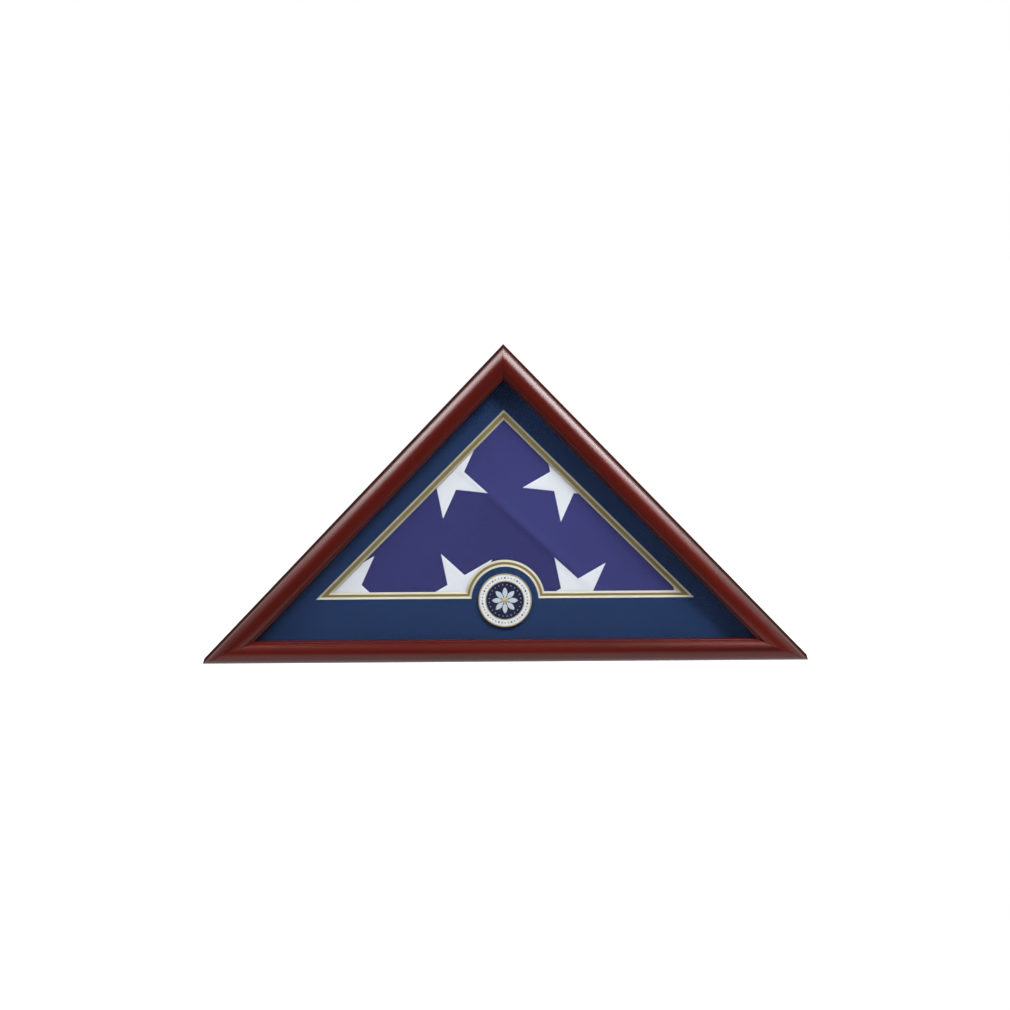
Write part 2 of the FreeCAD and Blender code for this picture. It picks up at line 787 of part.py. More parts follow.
def turn_button(label, side, along, pointing):
    body = new_body(label)
    hub = (f"(button_hub_radius*cos({TAPER}))", f"(button_hub_radius*sin({TAPER}))")
    far = (
        f"(button_reach + button_tip_radius*cos({TAPER}))",
        f"(button_tip_radius*sin({TAPER}))",
    )
    pivot, end = ("0", "0"), ("button_reach", "0")
    corners = [
        (hub[0], f"-{hub[1]}"),
        arc(far[0], f"-{far[1]}", end, -1),
        arc("button_reach + button_tip_radius", "0", end, -1),
        far,
        arc(*hub, pivot, -1),
        arc("-button_hub_radius", "0", pivot, -1),
    ]
    outline = face_sketch(body, f"{label}_outline", BUTTON_FACE, [corners])
    pad_back(body, f"{label}_plate", outline, "button_thickness")
    hole = [(*pivot, "screw_radius + screw_clearance")]
    cut_through(body, f"{label}_hole", face_sketch(body, f"{label}_pivot", BUTTON_FACE, circles=hole))
    x, z = spot(side, along, f"{LAND}/2")
    half_turn = "180 deg" if pointing == "back" else "0 deg"
    place(body, x, FRONT, z, f"({side['turn']} + {half_turn})")
    keep(body, label)


def button_screw(label, side, along):
    """A round-headed screw whose head runs just clear of the button."""
    body = new_body(label)
    under = f"({BUTTON_FACE} + button_thickness + button_gap)"
    top = f"({under} + screw_head_height)"
    # The head's dome is an arc through its edge and its top.
    drop = "((screw_head_radius^2 - screw_head_height^2)/(2*screw_head_height))"
    turn_profile(
        body,
        f"{label}_turned",
        [
            ("0", "(case_depth - screw_length + joinery_clearance)"),
            ("screw_radius", "(case_depth - screw_length + screw_radius)"),
            ("screw_radius", under),
            arc("screw_head_radius", under, ("0", f"({under} - {drop})"), -1),
            ("0", top),
        ],
    )
    x, z = spot(side, along, f"{LAND}/2")
    place(body, x, FRONT, z)
    return body


screws = []
for name, side in SIDES.items():
    for end, which in ((-1, "a"), (1, "b")):
        along = f"{end}*{button_reach_on(name)}"
        turn_button(f"turn_button_{name}_{which}", side, along, side["buttons"][end])
        screws.append(button_screw(f"{name}_screw_{which}", side, along))
keep_group(screws, "turn_button_screws")


# Sawtooth hanger: a strip bent up off the back, with a row of teeth along the bridge's lower edge.
hanger = new_body("sawtooth_hanger")
RAMP_END = "(hanger_bridge_half + hanger_ramp)"
bends = [
    ("hanger_half_length", "0"),
    ("hanger_half_length", "hanger_metal"),
    (RAMP_END, "hanger_metal"),
    ("hanger_bridge_half", "(hanger_lift + hanger_metal)"),
]
inner_bends = [("hanger_bridge_half", "hanger_lift"), (RAMP_END, "0")]
mirrored = [(f"-({x})", y) for x, y in reversed(bends)]
inner_mirrored = [(f"-({x})", y) for x, y in reversed(inner_bends)]
strip = sketch_on(hanger, "hanger_bends", "XY_Plane")
draw_loop(strip, bends + mirrored + inner_mirrored + inner_bends)
pad_both_ways(hanger, "hanger_strip", strip, "hanger_height")
holes = [(f"{end}*nail_spread", "0", "nail_radius + joinery_clearance") for end in (-1, 1)]
cut_through(hanger, "hanger_holes", face_sketch(hanger, "hanger_hole_spots", "0", circles=holes))
FIRST_TOOTH = "(-tooth_pitch*(tooth_count - 1)/2)"
LOWER_EDGE = "(-hanger_height/2)"
notch = face_sketch(
    hanger,
    "tooth_outline",
    "0",
    [
        [
            (f"{FIRST_TOOTH} - tooth_pitch/2", LOWER_EDGE),
            (f"{FIRST_TOOTH} + tooth_pitch/2", LOWER_EDGE),
            (FIRST_TOOTH, f"({LOWER_EDGE} + tooth_depth)"),
        ]
    ],
)
first_tooth = cut_through(hanger, "tooth", notch)
teeth = hanger.newObject("PartDesign::LinearPattern", "teeth")
teeth.Originals = [first_tooth]
teeth.Direction = (origin_feature(hanger, "X_Axis"), [""])
teeth.Mode = "Spacing"
teeth.setExpression("Offset", bound("tooth_pitch"))
teeth.setExpression("Occurrences", bound("tooth_count"))
hanger.Tip = teeth
place(hanger, "0", f"{FRONT} + case_depth", HANGER_LEVEL)
keep(hanger, "sawtooth_hanger")

nails = []
for end, which in ((-1, "left"), (1, "right")):
    nail = new_body(f"hanger_nail_{which}")
    turn_profile(
        nail,
        f"nail_{which}",
        [
            ("0", "hanger_metal - nail_length"),
            ("nail_radius", "hanger_metal - nail_length + 2*nail_radius"),
            ("nail_radius", "hanger_metal"),
            ("nail_head_radius", "hanger_metal"),
            ("nail_head_radius", "hanger_metal + nail_head_height/2"),
            ("nail_radius", "hanger_metal + nail_head_height"),
            ("0", "hanger_metal + nail_head_height"),
        ],
    )
    place(nail, f"{end}*nail_spread", f"{FRONT} + case_depth", HANGER_LEVEL)
    nails.append(nail)
keep_group(nails, "hanger_nails")


# Every object has to be sound, and every cut has to remove something, before a file is written.
doc.recompute()
for item in doc.Objects:
    if "Invalid" in item.State or "Error" in item.State:
        raise RuntimeError(f"{item.Label} did not rebuild: {item.State}")
    if item.TypeId in ("PartDesign::Pocket", "PartDesign::SubtractiveLoft"):
        if item.Shape.Volume >= item.BaseFeature.Shape.Volume - LEAST_CUT:
            raise RuntimeError(f"{item.Label} removes nothing")
for node in nodes:
    wanted = len(node.Links) if node.TypeId == "Part::Compound" else 1
    if node.Shape.isNull() or not node.Shape.isValid() or len(node.Shape.Solids) != wanted:
        raise RuntimeError(f"{node.Label} is not {wanted} sound solid(s)")

os.makedirs("parts", exist_ok=True)
for node in nodes:
    node.Shape.exportStep(f"parts/{node.Label}.step")
    size = node.Shape.BoundBox
    print(
        f"{node.Label}: {len(node.Shape.Solids)} solid(s), {node.Shape.Volume / 1000:.2f} cm3, "
        f"x {size.XMin:.1f} to {size.XMax:.1f}, y {size.YMin:.1f} to {size.YMax:.1f}, "
        f"z {size.ZMin:.1f} to {size.ZMax:.1f}"
    )
print(f"{len(nodes)} nodes, base angle {math.degrees(math.atan2(number('case_height'), number(HALF))):.2f}")
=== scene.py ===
import json
import math
import random

import bmesh
import bpy
from bmesh.types import BMEdge, BMFace, BMVert
from bpy.props import FloatProperty, FloatVectorProperty, IntProperty, PointerProperty
from mathutils import Matrix, Vector


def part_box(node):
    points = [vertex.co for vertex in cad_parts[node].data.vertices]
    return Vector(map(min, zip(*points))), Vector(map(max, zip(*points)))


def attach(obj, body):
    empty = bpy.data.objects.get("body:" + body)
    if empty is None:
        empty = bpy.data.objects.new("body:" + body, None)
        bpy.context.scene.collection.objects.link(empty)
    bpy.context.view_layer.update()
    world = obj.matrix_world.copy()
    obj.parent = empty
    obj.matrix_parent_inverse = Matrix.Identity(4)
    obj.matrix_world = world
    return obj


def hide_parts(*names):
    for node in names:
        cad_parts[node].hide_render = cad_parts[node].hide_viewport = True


bl_info = {
    "name": "Folded Flag Display Case",
    "version": (1, 0, 0),
    "blender": (4, 5, 0),
    "location": "3D View > Sidebar > Flag Case",
    "description": "Dresses the packed flag case and lights it on a white studio floor",
    "category": "Object",
}

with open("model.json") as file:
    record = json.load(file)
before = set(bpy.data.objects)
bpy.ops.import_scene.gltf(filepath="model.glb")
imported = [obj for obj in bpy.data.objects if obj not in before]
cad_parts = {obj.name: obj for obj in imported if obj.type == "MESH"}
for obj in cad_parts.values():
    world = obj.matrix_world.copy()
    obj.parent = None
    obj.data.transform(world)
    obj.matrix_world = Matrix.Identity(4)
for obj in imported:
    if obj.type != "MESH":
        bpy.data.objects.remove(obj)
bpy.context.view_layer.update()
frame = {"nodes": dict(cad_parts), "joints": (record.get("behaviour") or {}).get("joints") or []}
MM = 0.001
SAME = 1e-7
CLOSE = 1e-6
# Cosines above which an edge runs along an axis, and a face looks along it
PARALLEL, FACING = 0.999, 0.985
QUARTER, ROUND = math.pi / 2, 2 * math.pi
ALONG_X, ALONG_Y, ALONG_Z = Vector((1, 0, 0)), Vector((0, 1, 0)), Vector((0, 0, 1))
ORIGIN = Vector((0, 0, 0))
# Turns a flat shape's XY plane into the front view
UPRIGHT = Matrix.Rotation(QUARTER, 4, "X")

# The case's own lines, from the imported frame
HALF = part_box("bottom_moulding")[1].x
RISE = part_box("left_moulding")[1].z
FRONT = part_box("bottom_moulding")[0].y
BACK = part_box("bottom_box_board")[1].y
BOX_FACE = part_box("bottom_box_board")[0].y
BASE_BISECTOR = math.atan2(RISE, HALF) / 2
COIN_LOW, COIN_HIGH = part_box("medallion_disc")
TAB = Vector((0, 0, (COIN_LOW.z + COIN_HIGH.z) / 2))


def length(name, default, description):
    """A size that is given in millimetres and kept in metres."""
    return FloatProperty(
        name=name, description=description, default=default * MM, unit="LENGTH", precision=5
    )


def metres(name, default, description):
    return FloatProperty(name=name, description=description, default=default, unit="LENGTH")


def number(name, default, description):
    return FloatProperty(name=name, description=description, default=default)


def count(name, default, least, description):
    return IntProperty(name=name, description=description, default=default, min=least)


def colour(name, default, description):
    return FloatVectorProperty(
        name=name, description=description, default=default, size=3, min=0, max=1, subtype="COLOR"
    )


# What a user would change
class FlagCaseJoinery(bpy.types.PropertyGroup):
    moulding_width: length("Moulding width", 23.5, "Across the face of a rail")
    shoulder: length("Shoulder radius", 11, "Round on the outer edge of a rail")
    slope: length("Slope radius", 13, "Round that falls towards the glass")
    bead: length("Bead radius", 2.4, "Quarter round along the sight edge")
    bead_step: length("Bead step", 1.2, "Step between the slope and the bead")
    rabbet: length("Glass rabbet", 8.6, "Width of the rabbet for glass and mats")
    rabbet_depth: length("Rabbet depth", 13, "Depth of the rabbet from the back")
    board: length("Board thickness", 18, "Thickness of the box boards")
    panel_rabbet: length("Panel rabbet", 8, "Width of the rabbet for the back panel")
    panel_depth: length("Panel depth", 4, "Depth of that rabbet")
    easing: length("Easing", 0.25, "Sanded round on sharp wooden edges")
    wood_dark: colour("Dark grain", (0.048, 0.0018, 0.0005), "Stain in the open grain")
    wood_light: colour("Light grain", (0.112, 0.0055, 0.0014), "Stain between the grain")
    # The sides' stain is a darker copy of the front's: painted shade on the box boards and the rails'
    # outer faces, which also carry little gloss
    painted_shade_side_dark: colour("Sides dark", (0.030, 0.0022, 0.0010), "Stained sides, in the grain")
    painted_shade_side_light: colour("Sides light", (0.068, 0.0060, 0.0024), "Stained sides, between the grain")
    raw_dark: colour("Raw dark", (0.27, 0.13, 0.055), "Bare hardwood's grain")
    raw_light: colour("Raw light", (0.46, 0.27, 0.13), "Bare hardwood")
    spacer: colour("Spacer", (0.02, 0.02, 0.022), "Black board between glass and mats")


class FlagCaseMats(bpy.types.PropertyGroup):
    outline: length("Outline inset", 15.3, "Outer edge of the mats from the case's edge")
    apex: length("Window apex", 269.0, "Top of the outer mat's window above the base")
    base: length("Window base", 66.4, "Bottom of the outer mat's window above the base")
    tab: length("Tab radius", 36, "Round of the tab about the medallion")
    thickness: length("Thickness", 2.2, "Thickness of each mat, and run of its cut bevel")
    leg_reveal: length("Leg reveal", 3.6, "Inner mat that shows along the legs")
    base_reveal: length("Base reveal", 2.7, "Inner mat that shows along the base")
    navy: colour("Navy", (0.0125, 0.030, 0.092), "Face of the outer mat")
    gold: colour("Gold", (0.20, 0.155, 0.06), "Face of the inner mat")
    core: colour("Core", (0.58, 0.53, 0.44), "Cut core of both mats")


class FlagCaseMedallion(bpy.types.PropertyGroup):
    radius: length("Radius", 28.8, "Outside of the rim")
    rim: length("Rim", 1.4, "Width of the rim")
    recess: length("Recess", 0.8, "Depth of the enamelled fields")
    fillet: length("Fillet radius", 20, "Inside of the raised fillet")
    fillet_width: length("Fillet width", 1, "Across the raised fillet")
    rosette: length("Rosette radius", 14, "Tip of the petals")
    petals: count("Petals", 8, 3, "Petals of the rosette")
    beads: count("Beads", 44, 3, "Beads on the ring")
    gilt: colour("Gilt", (0.42, 0.35, 0.20), "Rim and fillet")
    white: colour("White enamel", (0.78, 0.78, 0.82), "Ring")
    field: colour("Navy enamel", (0.006, 0.007, 0.036), "Centre")
    silver: colour("Silver", (0.55, 0.60, 0.68), "Petals and dots")
    slate: colour("Slate", (0.10, 0.11, 0.15), "Beads on the ring")
    tape: colour("Tape", (0.55, 0.55, 0.52), "Foam pad behind the medallion")


class FlagCaseFlag(bpy.types.PropertyGroup):
    hoist: metres("Hoist", 1.524, "Height of the flag when flat")
    fly: metres("Fly", 2.896, "Length of the flag when flat")
    turns: count("Turns", 14, 2, "Triangular turns in the fold")
    star: length("Star radius", 46.9, "Centre to tip of a star")
    star_turn: number("Star turn", 47.5, "Degrees above level that a star's tip points at")
    stitch: length("Stitch height", 0.45, "How far the embroidery stands out")
    row: length("Row pitch", 82, "Between rows of stars")
    column: length("Column pitch", 96, "Between columns of stars")
    ridge: length("Ridge", 118, "Where the last tuck lies under the top layer")
    tuck: length("Tuck", 1.7, "How far the tuck lifts the top layer")
    cloth: colour("Cloth", (0.037, 0.0375, 0.150), "Dyed cotton")
    thread: colour("Thread", (0.81, 0.81, 0.90), "Embroidered stars")


class FlagCaseHardware(bpy.types.PropertyGroup):
    hub: length("Button hub", 4.6, "Round end of a turn button at its screw")
    tip: length("Button tip", 3.8, "Round end of a turn button that laps the panel")
    reach: length("Button reach", 22, "Between the two rounds")
    bore: length("Button bore", 1.9, "Hole for the screw")
    nickel: colour("Nickel", (0.38, 0.37, 0.33), "Buttons")
    zinc: colour("Zinc", (0.41, 0.42, 0.43), "Screws")
    brass: colour("Brass", (0.53, 0.36, 0.14), "Hanger and nails")
    panel: colour("Hardboard", (0.135, 0.068, 0.031), "Back panel")


class FlagCaseStage(bpy.types.PropertyGroup):
    elevation: number("Elevation", 3.6, "Camera's height above level, in degrees")
    roll: number("Roll", -0.4, "Camera's tilt, in degrees")
    distance: metres("Distance", 16, "Camera to case")
    lens: number("Lens", 531.9, "Focal length in millimetres")
    sensor: number("Sensor", 36, "Width of the camera's sensor in millimetres")
    aim: FloatVectorProperty(
        name="Aim", description="Middle of the picture", default=(0.0007, 0, 0.166), subtype="XYZ"
    )
    ambient: number("Ambient", 0.26, "Level of the even light all round")
    key: number("Key", 30, "Power of the upper right lamp, in watts")
    fill: number("Fill", 10, "Power of the left lamp, in watts")
    rim: number("Rim", 10.4, "Power of the strip beside the left leg, in watts")
    back: number("Back", 9, "Power of the lamp behind the case, in watts")
    top: number("Top", 4, "Power of the strip above the case, in watts")


GROUPS = {
    "flag_case_joinery": FlagCaseJoinery,
    "flag_case_mats": FlagCaseMats,
    "flag_case_medallion": FlagCaseMedallion,
    "flag_case_flag": FlagCaseFlag,
    "flag_case_hardware": FlagCaseHardware,
    "flag_case_stage": FlagCaseStage,
}


# Materials
def feed(tree, node, inputs):
    """Links or sets the inputs of a node."""
    for key, value in inputs.items():
        if isinstance(value, bpy.types.NodeSocket):
            tree.links.new(value, node.inputs[key])
        else:
            node.inputs[key].default_value = value


def put(tree, kind, inputs=None, **settings):
    """Adds a node, sets it up and feeds its inputs."""
    node = tree.nodes.new("ShaderNode" + kind)
    for key, value in settings.items():
        setattr(node, key, value)
    feed(tree, node, inputs or {})
    return node


def mixed(tree, factor, first, second):
    """A colour between two others, by a factor."""
    first, second = (c if isinstance(c, bpy.types.NodeSocket) else (*c, 1) for c in (first, second))
    return put(tree, "Mix", {0: factor, 6: first, 7: second}, data_type="RGBA").outputs[2]


def ranged(tree, value, onto=(0, 1), of=(0, 1)):
    """A value moved from one range onto another, and held within it."""
    inputs = {"From Min": of[0], "From Max": of[1], "To Min": onto[0], "To Max": onto[1]}
    return put(tree, "MapRange", {"Value": value, **inputs}).outputs["Result"]


def worked(tree, operation, first, second):
    return put(tree, "Math", {0: first, 1: second}, operation=operation).outputs[0]


def noise(tree, place, scale, detail, distortion=0.0):
    inputs = {"Vector": place, "Scale": scale, "Detail": detail, "Distortion": distortion}
    return put(tree, "TexNoise", inputs).outputs["Fac"]


def mapped(tree, place, **inputs):
    return put(tree, "Mapping", {"Vector": place, **inputs}).outputs[0]


def attribute(tree, name):
    return put(tree, "Attribute", attribute_name=name).outputs["Vector"]


def shared(name, inputs, fill):
    """A node group, built once and then found by its name. An input without a default is a vector."""
    if name not in bpy.data.node_groups:
        tree = bpy.data.node_groups.new(name, "ShaderNodeTree")
        for label, default in inputs.items():
            kind = "NodeSocketVector" if default is None else "NodeSocketFloat"
            socket = tree.interface.new_socket(label, in_out="INPUT", socket_type=kind)
            if default is not None:
                socket.default_value = default
        results = fill(tree, tree.nodes.new("NodeGroupInput").outputs)
        for label in results:
            tree.interface.new_socket(label, in_out="OUTPUT", socket_type="NodeSocketFloat")
        feed(tree, tree.nodes.new("NodeGroupOutput"), results)
    return bpy.data.node_groups[name]


def wood_grain():
    """Figure, pores and height of straight-grained hardwood, along the vector's X."""

    def fill(tree, given):
        figure = noise(tree, mapped(tree, given["Vector"], Scale=(2.2, 75, 75)), 1.0, 5.0, 0.6)
        pore = noise(tree, mapped(tree, given["Vector"], Scale=(38, 1500, 1500)), 1.0, 2.0)
        pores = ranged(tree, pore, of=(0.56, 0.70))
        return {
            "Figure": ranged(tree, figure, of=(0.3, 0.7)),
            "Pores": pores,
            "Height": ranged(tree, pores, (1, 0)),
        }

    return shared("Wood Grain", {"Vector": None}, fill)


def fine_grain():
    """Mottle, fleck and height of paper, paint, metal and other fine surfaces."""

    def fill(tree, given):
        place = put(tree, "TexCoord").outputs["Object"]
        fine = noise(tree, place, given["Fine"], 3.0)
        return {
            "Mottle": ranged(tree, noise(tree, place, given["Coarse"], 4.0), of=(0.3, 0.7)),
            "Fleck": ranged(tree, fine, of=(0.35, 0.65)),
            "Height": fine,
        }

    return shared("Fine Grain", {"Coarse": 60.0, "Fine": 1500.0}, fill)


def woven():
    """Threads of a plain weave across the vector's X and Y, with slubs."""

    def fill(tree, given):
        ways = []
        for turn in (0, QUARTER):
            place = mapped(tree, given["Vector"], Rotation=(0, 0, turn))
            wave = {"Vector": place, "Scale": given["Threads"], "Distortion": 0.8}
            ways.append(put(tree, "TexWave", wave).outputs["Fac"])
        slub = noise(tree, mapped(tree, given["Vector"], Scale=(20, 900, 20)), 1.0, 3.0)
        return {"Weave": worked(tree, "MULTIPLY", *ways), "Slub": ranged(tree, slub, of=(0.3, 0.7))}

    return shared("Plain Weave", {"Vector": None, "Threads": 900.0}, fill)


def new_material(name):
    material = bpy.data.materials.new(name)
    material.use_nodes = True
    return material, material.node_tree


def painted(material, inputs):
    """Feeds the Principled shader of a material."""
    tree = material.node_tree
    feed(tree, tree.nodes["Principled BSDF"], inputs)
    return material


def grouped(tree, group, **inputs):
    return put(tree, "Group", inputs, node_tree=group).outputs


def bumped(tree, height, distance, strength):
    inputs = {"Height": height, "Distance": distance * MM, "Strength": strength}
    return put(tree, "Bump", inputs).outputs["Normal"]


def toned(tint, share):
    """A tint made deeper or paler."""
    return [min(1, c * share) for c in tint]


def wooden(name, dark, light, gloss, shine=0.0, own_grain=True):
    """Wood, lacquered by as much as gloss says, along its grain attribute or else along X."""
    material, tree = new_material(name)
    place = attribute(tree, "grain") if own_grain else put(tree, "TexCoord").outputs["Object"]
    grain = grouped(tree, wood_grain(), Vector=place)
    tone = mixed(tree, grain["Figure"], dark, light)
    inputs = {
        "Base Color": mixed(tree, ranged(tree, grain["Pores"], (0, 0.45)), tone, dark),
        "Roughness": ranged(tree, grain["Figure"], (0.48, 0.40)),
        "Specular IOR Level": shine,
        "Coat Weight": gloss,
        "Coat Roughness": 0.38,
        "Normal": bumped(tree, grain["Height"], 0.02, 0.3),
    }
    return painted(material, inputs)


def boarded(name, face, rough=0.75):
    """Paper-faced board with a fine tooth."""
    material, tree = new_material(name)
    grain = grouped(tree, fine_grain(), Coarse=14.0, Fine=1900.0)
    tone = mixed(tree, grain["Mottle"], toned(face, 0.86), face)
    inputs = {
        "Base Color": mixed(tree, ranged(tree, grain["Fleck"], (0, 0.6)), tone, toned(face, 1.16)),
        "Roughness": ranged(tree, grain["Fleck"], (rough - 0.05, rough + 0.05)),
        "Specular IOR Level": 0.15,
        "Normal": bumped(tree, grain["Height"], 0.06, 0.6),
    }
    return painted(material, inputs)


def coated(name, tint, coarse, fine, deep, rough, bump, fixed):
    """A smooth finish that is mottled from a deeper tint and flecked in its roughness."""
    material, tree = new_material(name)
    grain = grouped(tree, fine_grain(), Coarse=coarse, Fine=fine)
    inputs = {
        "Base Color": mixed(tree, grain["Mottle"], toned(tint, deep), tint),
        "Roughness": ranged(tree, grain["Fleck"], rough),
        "Normal": bumped(tree, grain["Height"], 0.02, bump),
    }
    return painted(material, {**inputs, **fixed})


def metallic(name, tint, rough):
    """Plated or stamped metal with faint handling marks."""
    return coated(name, tint, 260.0, 1200.0, 0.72, (rough, rough + 0.14), 0.4, {"Metallic": 1.0})


def enamelled(name, tint):
    """Fired enamel, smooth and a little uneven in tone."""
    return coated(name, tint, 320.0, 2600.0, 0.84, (0.30, 0.40), 0.3, {"Specular IOR Level": 0.2})


def clear_glass():
    """A low-reflection pane that lets lamps and bounced light through to the flag."""
    material, tree = new_material("clear_glass")
    smear = grouped(tree, fine_grain(), Coarse=9.0, Fine=120.0)
    inputs = {
        "Roughness": ranged(tree, smear["Mottle"], (0, 0.03)),
        "Base Color": (0.985, 0.995, 0.99, 1),
        "Transmission Weight": 1.0,
        "IOR": 1.1,
    }
    painted(material, inputs)
    path = put(tree, "LightPath").outputs
    through = worked(tree, "MAXIMUM", path["Is Shadow Ray"], path["Is Diffuse Ray"])
    glass = tree.nodes["Principled BSDF"].outputs[0]
    clear = put(tree, "BsdfTransparent", {"Color": (0.96, 0.98, 0.97, 1)}).outputs[0]
    mix = put(tree, "MixShader", {0: through, 1: glass, 2: clear}).outputs[0]
    feed(tree, tree.nodes["Material Output"], {"Surface": mix})
    return material


def dyed_cloth(name, tint):
    """Cotton bunting with its weave and slubs, and painted light and painted shade about the tuck, paler
    or deeper as an attribute says.
    """
    material, tree = new_material(name)
    # Painted light above the tuck and painted shade just below it, read from an attribute
    painted_tuck_shading = put(tree, "SeparateXYZ", {0: attribute(tree, "painted_tuck_shading")}).outputs["X"]
    weave = grouped(tree, woven(), Vector=attribute(tree, "threads"), Threads=420.0)
    cloud = grouped(tree, fine_grain(), Coarse=16.0, Fine=700.0)
    low = toned(tint, 0.80)
    tone = mixed(tree, painted_tuck_shading, toned(tint, 0.74), toned(tint, 1.26))
    tone = mixed(tree, ranged(tree, cloud["Mottle"], (0.16, 0)), tone, low)
    tone = mixed(tree, ranged(tree, weave["Slub"], (0, 0.12)), tone, toned(tint, 1.9))
    inputs = {
        "Base Color": mixed(tree, ranged(tree, weave["Weave"], (0.3, 0)), tone, low),
        "Roughness": ranged(tree, cloud["Fleck"], (0.8, 0.92)),
        "Specular IOR Level": 0.1,
        "Sheen Weight": 0.08,
        "Sheen Roughness": 0.5,
        "Normal": bumped(tree, weave["Weave"], 0.10, 0.7),
    }
    return painted(material, inputs)


def stitched(name, tint):
    """Close rows of embroidery thread, which follow the piece's threads attribute."""
    material, tree = new_material(name)
    wave = {"Vector": attribute(tree, "threads"), "Scale": 420.0, "Distortion": 1.2, "Detail": 1.0}
    rows = put(tree, "TexWave", wave).outputs["Fac"]
    cloud = grouped(tree, fine_grain(), Coarse=70.0, Fine=900.0)
    low = toned(tint, 0.82)
    tone = mixed(tree, rows, low, tint)
    inputs = {
        "Base Color": mixed(tree, ranged(tree, cloud["Mottle"], (0, 0.3)), tone, low),
        "Roughness": ranged(tree, cloud["Fleck"], (0.55, 0.7)),
        "Specular IOR Level": 0.2,
        "Sheen Weight": 0.15,
        "Normal": bumped(tree, rows, 0.12, 0.7),
    }
    return painted(material, inputs)


# Shapes
def only(kind, geom):
    return [item for item in geom if isinstance(item, kind)]


def moved(bm, matrix):
    bmesh.ops.transform(bm, matrix=matrix, verts=bm.verts[:])


def outwards(bm):
    bmesh.ops.recalc_face_normals(bm, faces=bm.faces[:])


def whole(bm):
    return bm.verts[:] + bm.edges[:] + bm.faces[:]


def sliced(bm, point, normal, clear=True, geom=None):
    """Cuts along a plane, drops what lies beyond it if told to, and returns what lies on it."""
    return bmesh.ops.bisect_plane(
        bm, geom=geom or whole(bm), dist=SAME, plane_co=point, plane_no=normal, clear_outer=clear
    )["geom_cut"]


def drawn(bm, steps, axis, place):
    """A chain of edges: a pair is a straight run to it, and (centre, angle, segments) an arc."""
    tip = bm.verts.new(place(*steps[0]))
    made = [tip]
    for step in steps[1:]:
        if len(step) == 2:
            tip = bmesh.ops.extrude_vert_indiv(bm, verts=[tip])["verts"][0]
            tip.co = place(*step)
            made.append(tip)
        else:
            centre, angle, segments = step
            before = set(bm.verts)
            last = bmesh.ops.spin(
                bm, geom=[tip], cent=place(*centre), axis=axis, angle=angle, steps=segments,
                use_duplicate=False,
            )["geom_last"]
            tip = only(BMVert, last)[0]
            made += [v for v in bm.verts if v not in before]
    return made


def closed(bm, steps, axis, place):
    """Draws a closed outline and returns its edges."""
    before = set(bm.edges)
    made = drawn(bm, steps, axis, place)
    ends = [v for v in made if len([e for e in v.link_edges if e not in before]) == 1]
    if (ends[0].co - ends[1].co).length < CLOSE:
        bmesh.ops.pointmerge(bm, verts=ends, merge_co=ends[0].co)
    else:
        bm.edges.new(ends)
    return [e for e in bm.edges if e not in before]


def on_front(depth):
    """Puts a point of the front view at a depth."""
    return lambda x, z: (x, depth, z)


def hole(bm, place, radius, segments):
    """The edges of a circle in the front view."""
    turn = Matrix.Translation(place) @ UPRIGHT
    made = bmesh.ops.create_circle(bm, segments=segments, radius=radius, matrix=turn)["verts"]
    return list({e for v in made for e in v.link_edges})


def raised(bm, faces, step):
    """Extrudes faces by a step and returns the new vertices."""
    made = only(BMVert, bmesh.ops.extrude_face_region(bm, geom=faces)["geom"])
    bmesh.ops.translate(bm, verts=made, vec=step)
    return made


def turned(bm, profile, centre, steps):
    """Spins a profile of radius and depth round an axis that runs from front to back."""
    chain = drawn(bm, profile, ALONG_Z, lambda radius, depth: (radius, depth, centre.z))
    edges = list({e for v in chain for e in v.link_edges})
    bmesh.ops.spin(
        bm, geom=chain + edges, cent=centre, axis=ALONG_Y, angle=ROUND, steps=steps, use_merge=True
    )
    bmesh.ops.remove_doubles(bm, verts=bm.verts[:], dist=CLOSE)


def dome(bm, place, radius, height, rings, steps):
    """A low bead that stands forward of its place."""
    before = set(bm.verts)
    bmesh.ops.create_uvsphere(bm, u_segments=steps, v_segments=2 * rings, radius=1)
    made = [v for v in bm.verts if v not in before]
    shape = Matrix.Translation(place) @ Matrix.Diagonal((radius, height, radius, 1))
    bmesh.ops.transform(bm, matrix=shape, verts=made)


def ease(bm, width, least=0.6, along=None):
    """Rounds the edges that are sharper than least, or only those of them that run one way."""
    edges = [e for e in bm.edges if len(e.link_faces) == 2 and e.calc_face_angle(0) > least]
    if along:
        edges = [
            e for e in edges
            if abs((e.verts[1].co - e.verts[0].co).normalized().dot(along)) > PARALLEL
        ]
    bmesh.ops.bevel(
        bm, geom=edges, offset=width, offset_type="OFFSET", affect="EDGES",
        segments=2, profile=0.5, material=-1, clamp_overlap=True,
    )


def joined(bm, part):
    """Adds a part to a larger mesh, with its faces outwards."""
    outwards(part)
    mesh = bpy.data.meshes.new("part")
    part.to_mesh(mesh)
    part.free()
    bm.from_mesh(mesh)
    bpy.data.meshes.remove(mesh)


def second_material(bm, first):
    """Gives the faces from the first one on the second material."""
    bm.faces.ensure_lookup_table()
    for face in bm.faces[first:]:
        face.material_index = 1


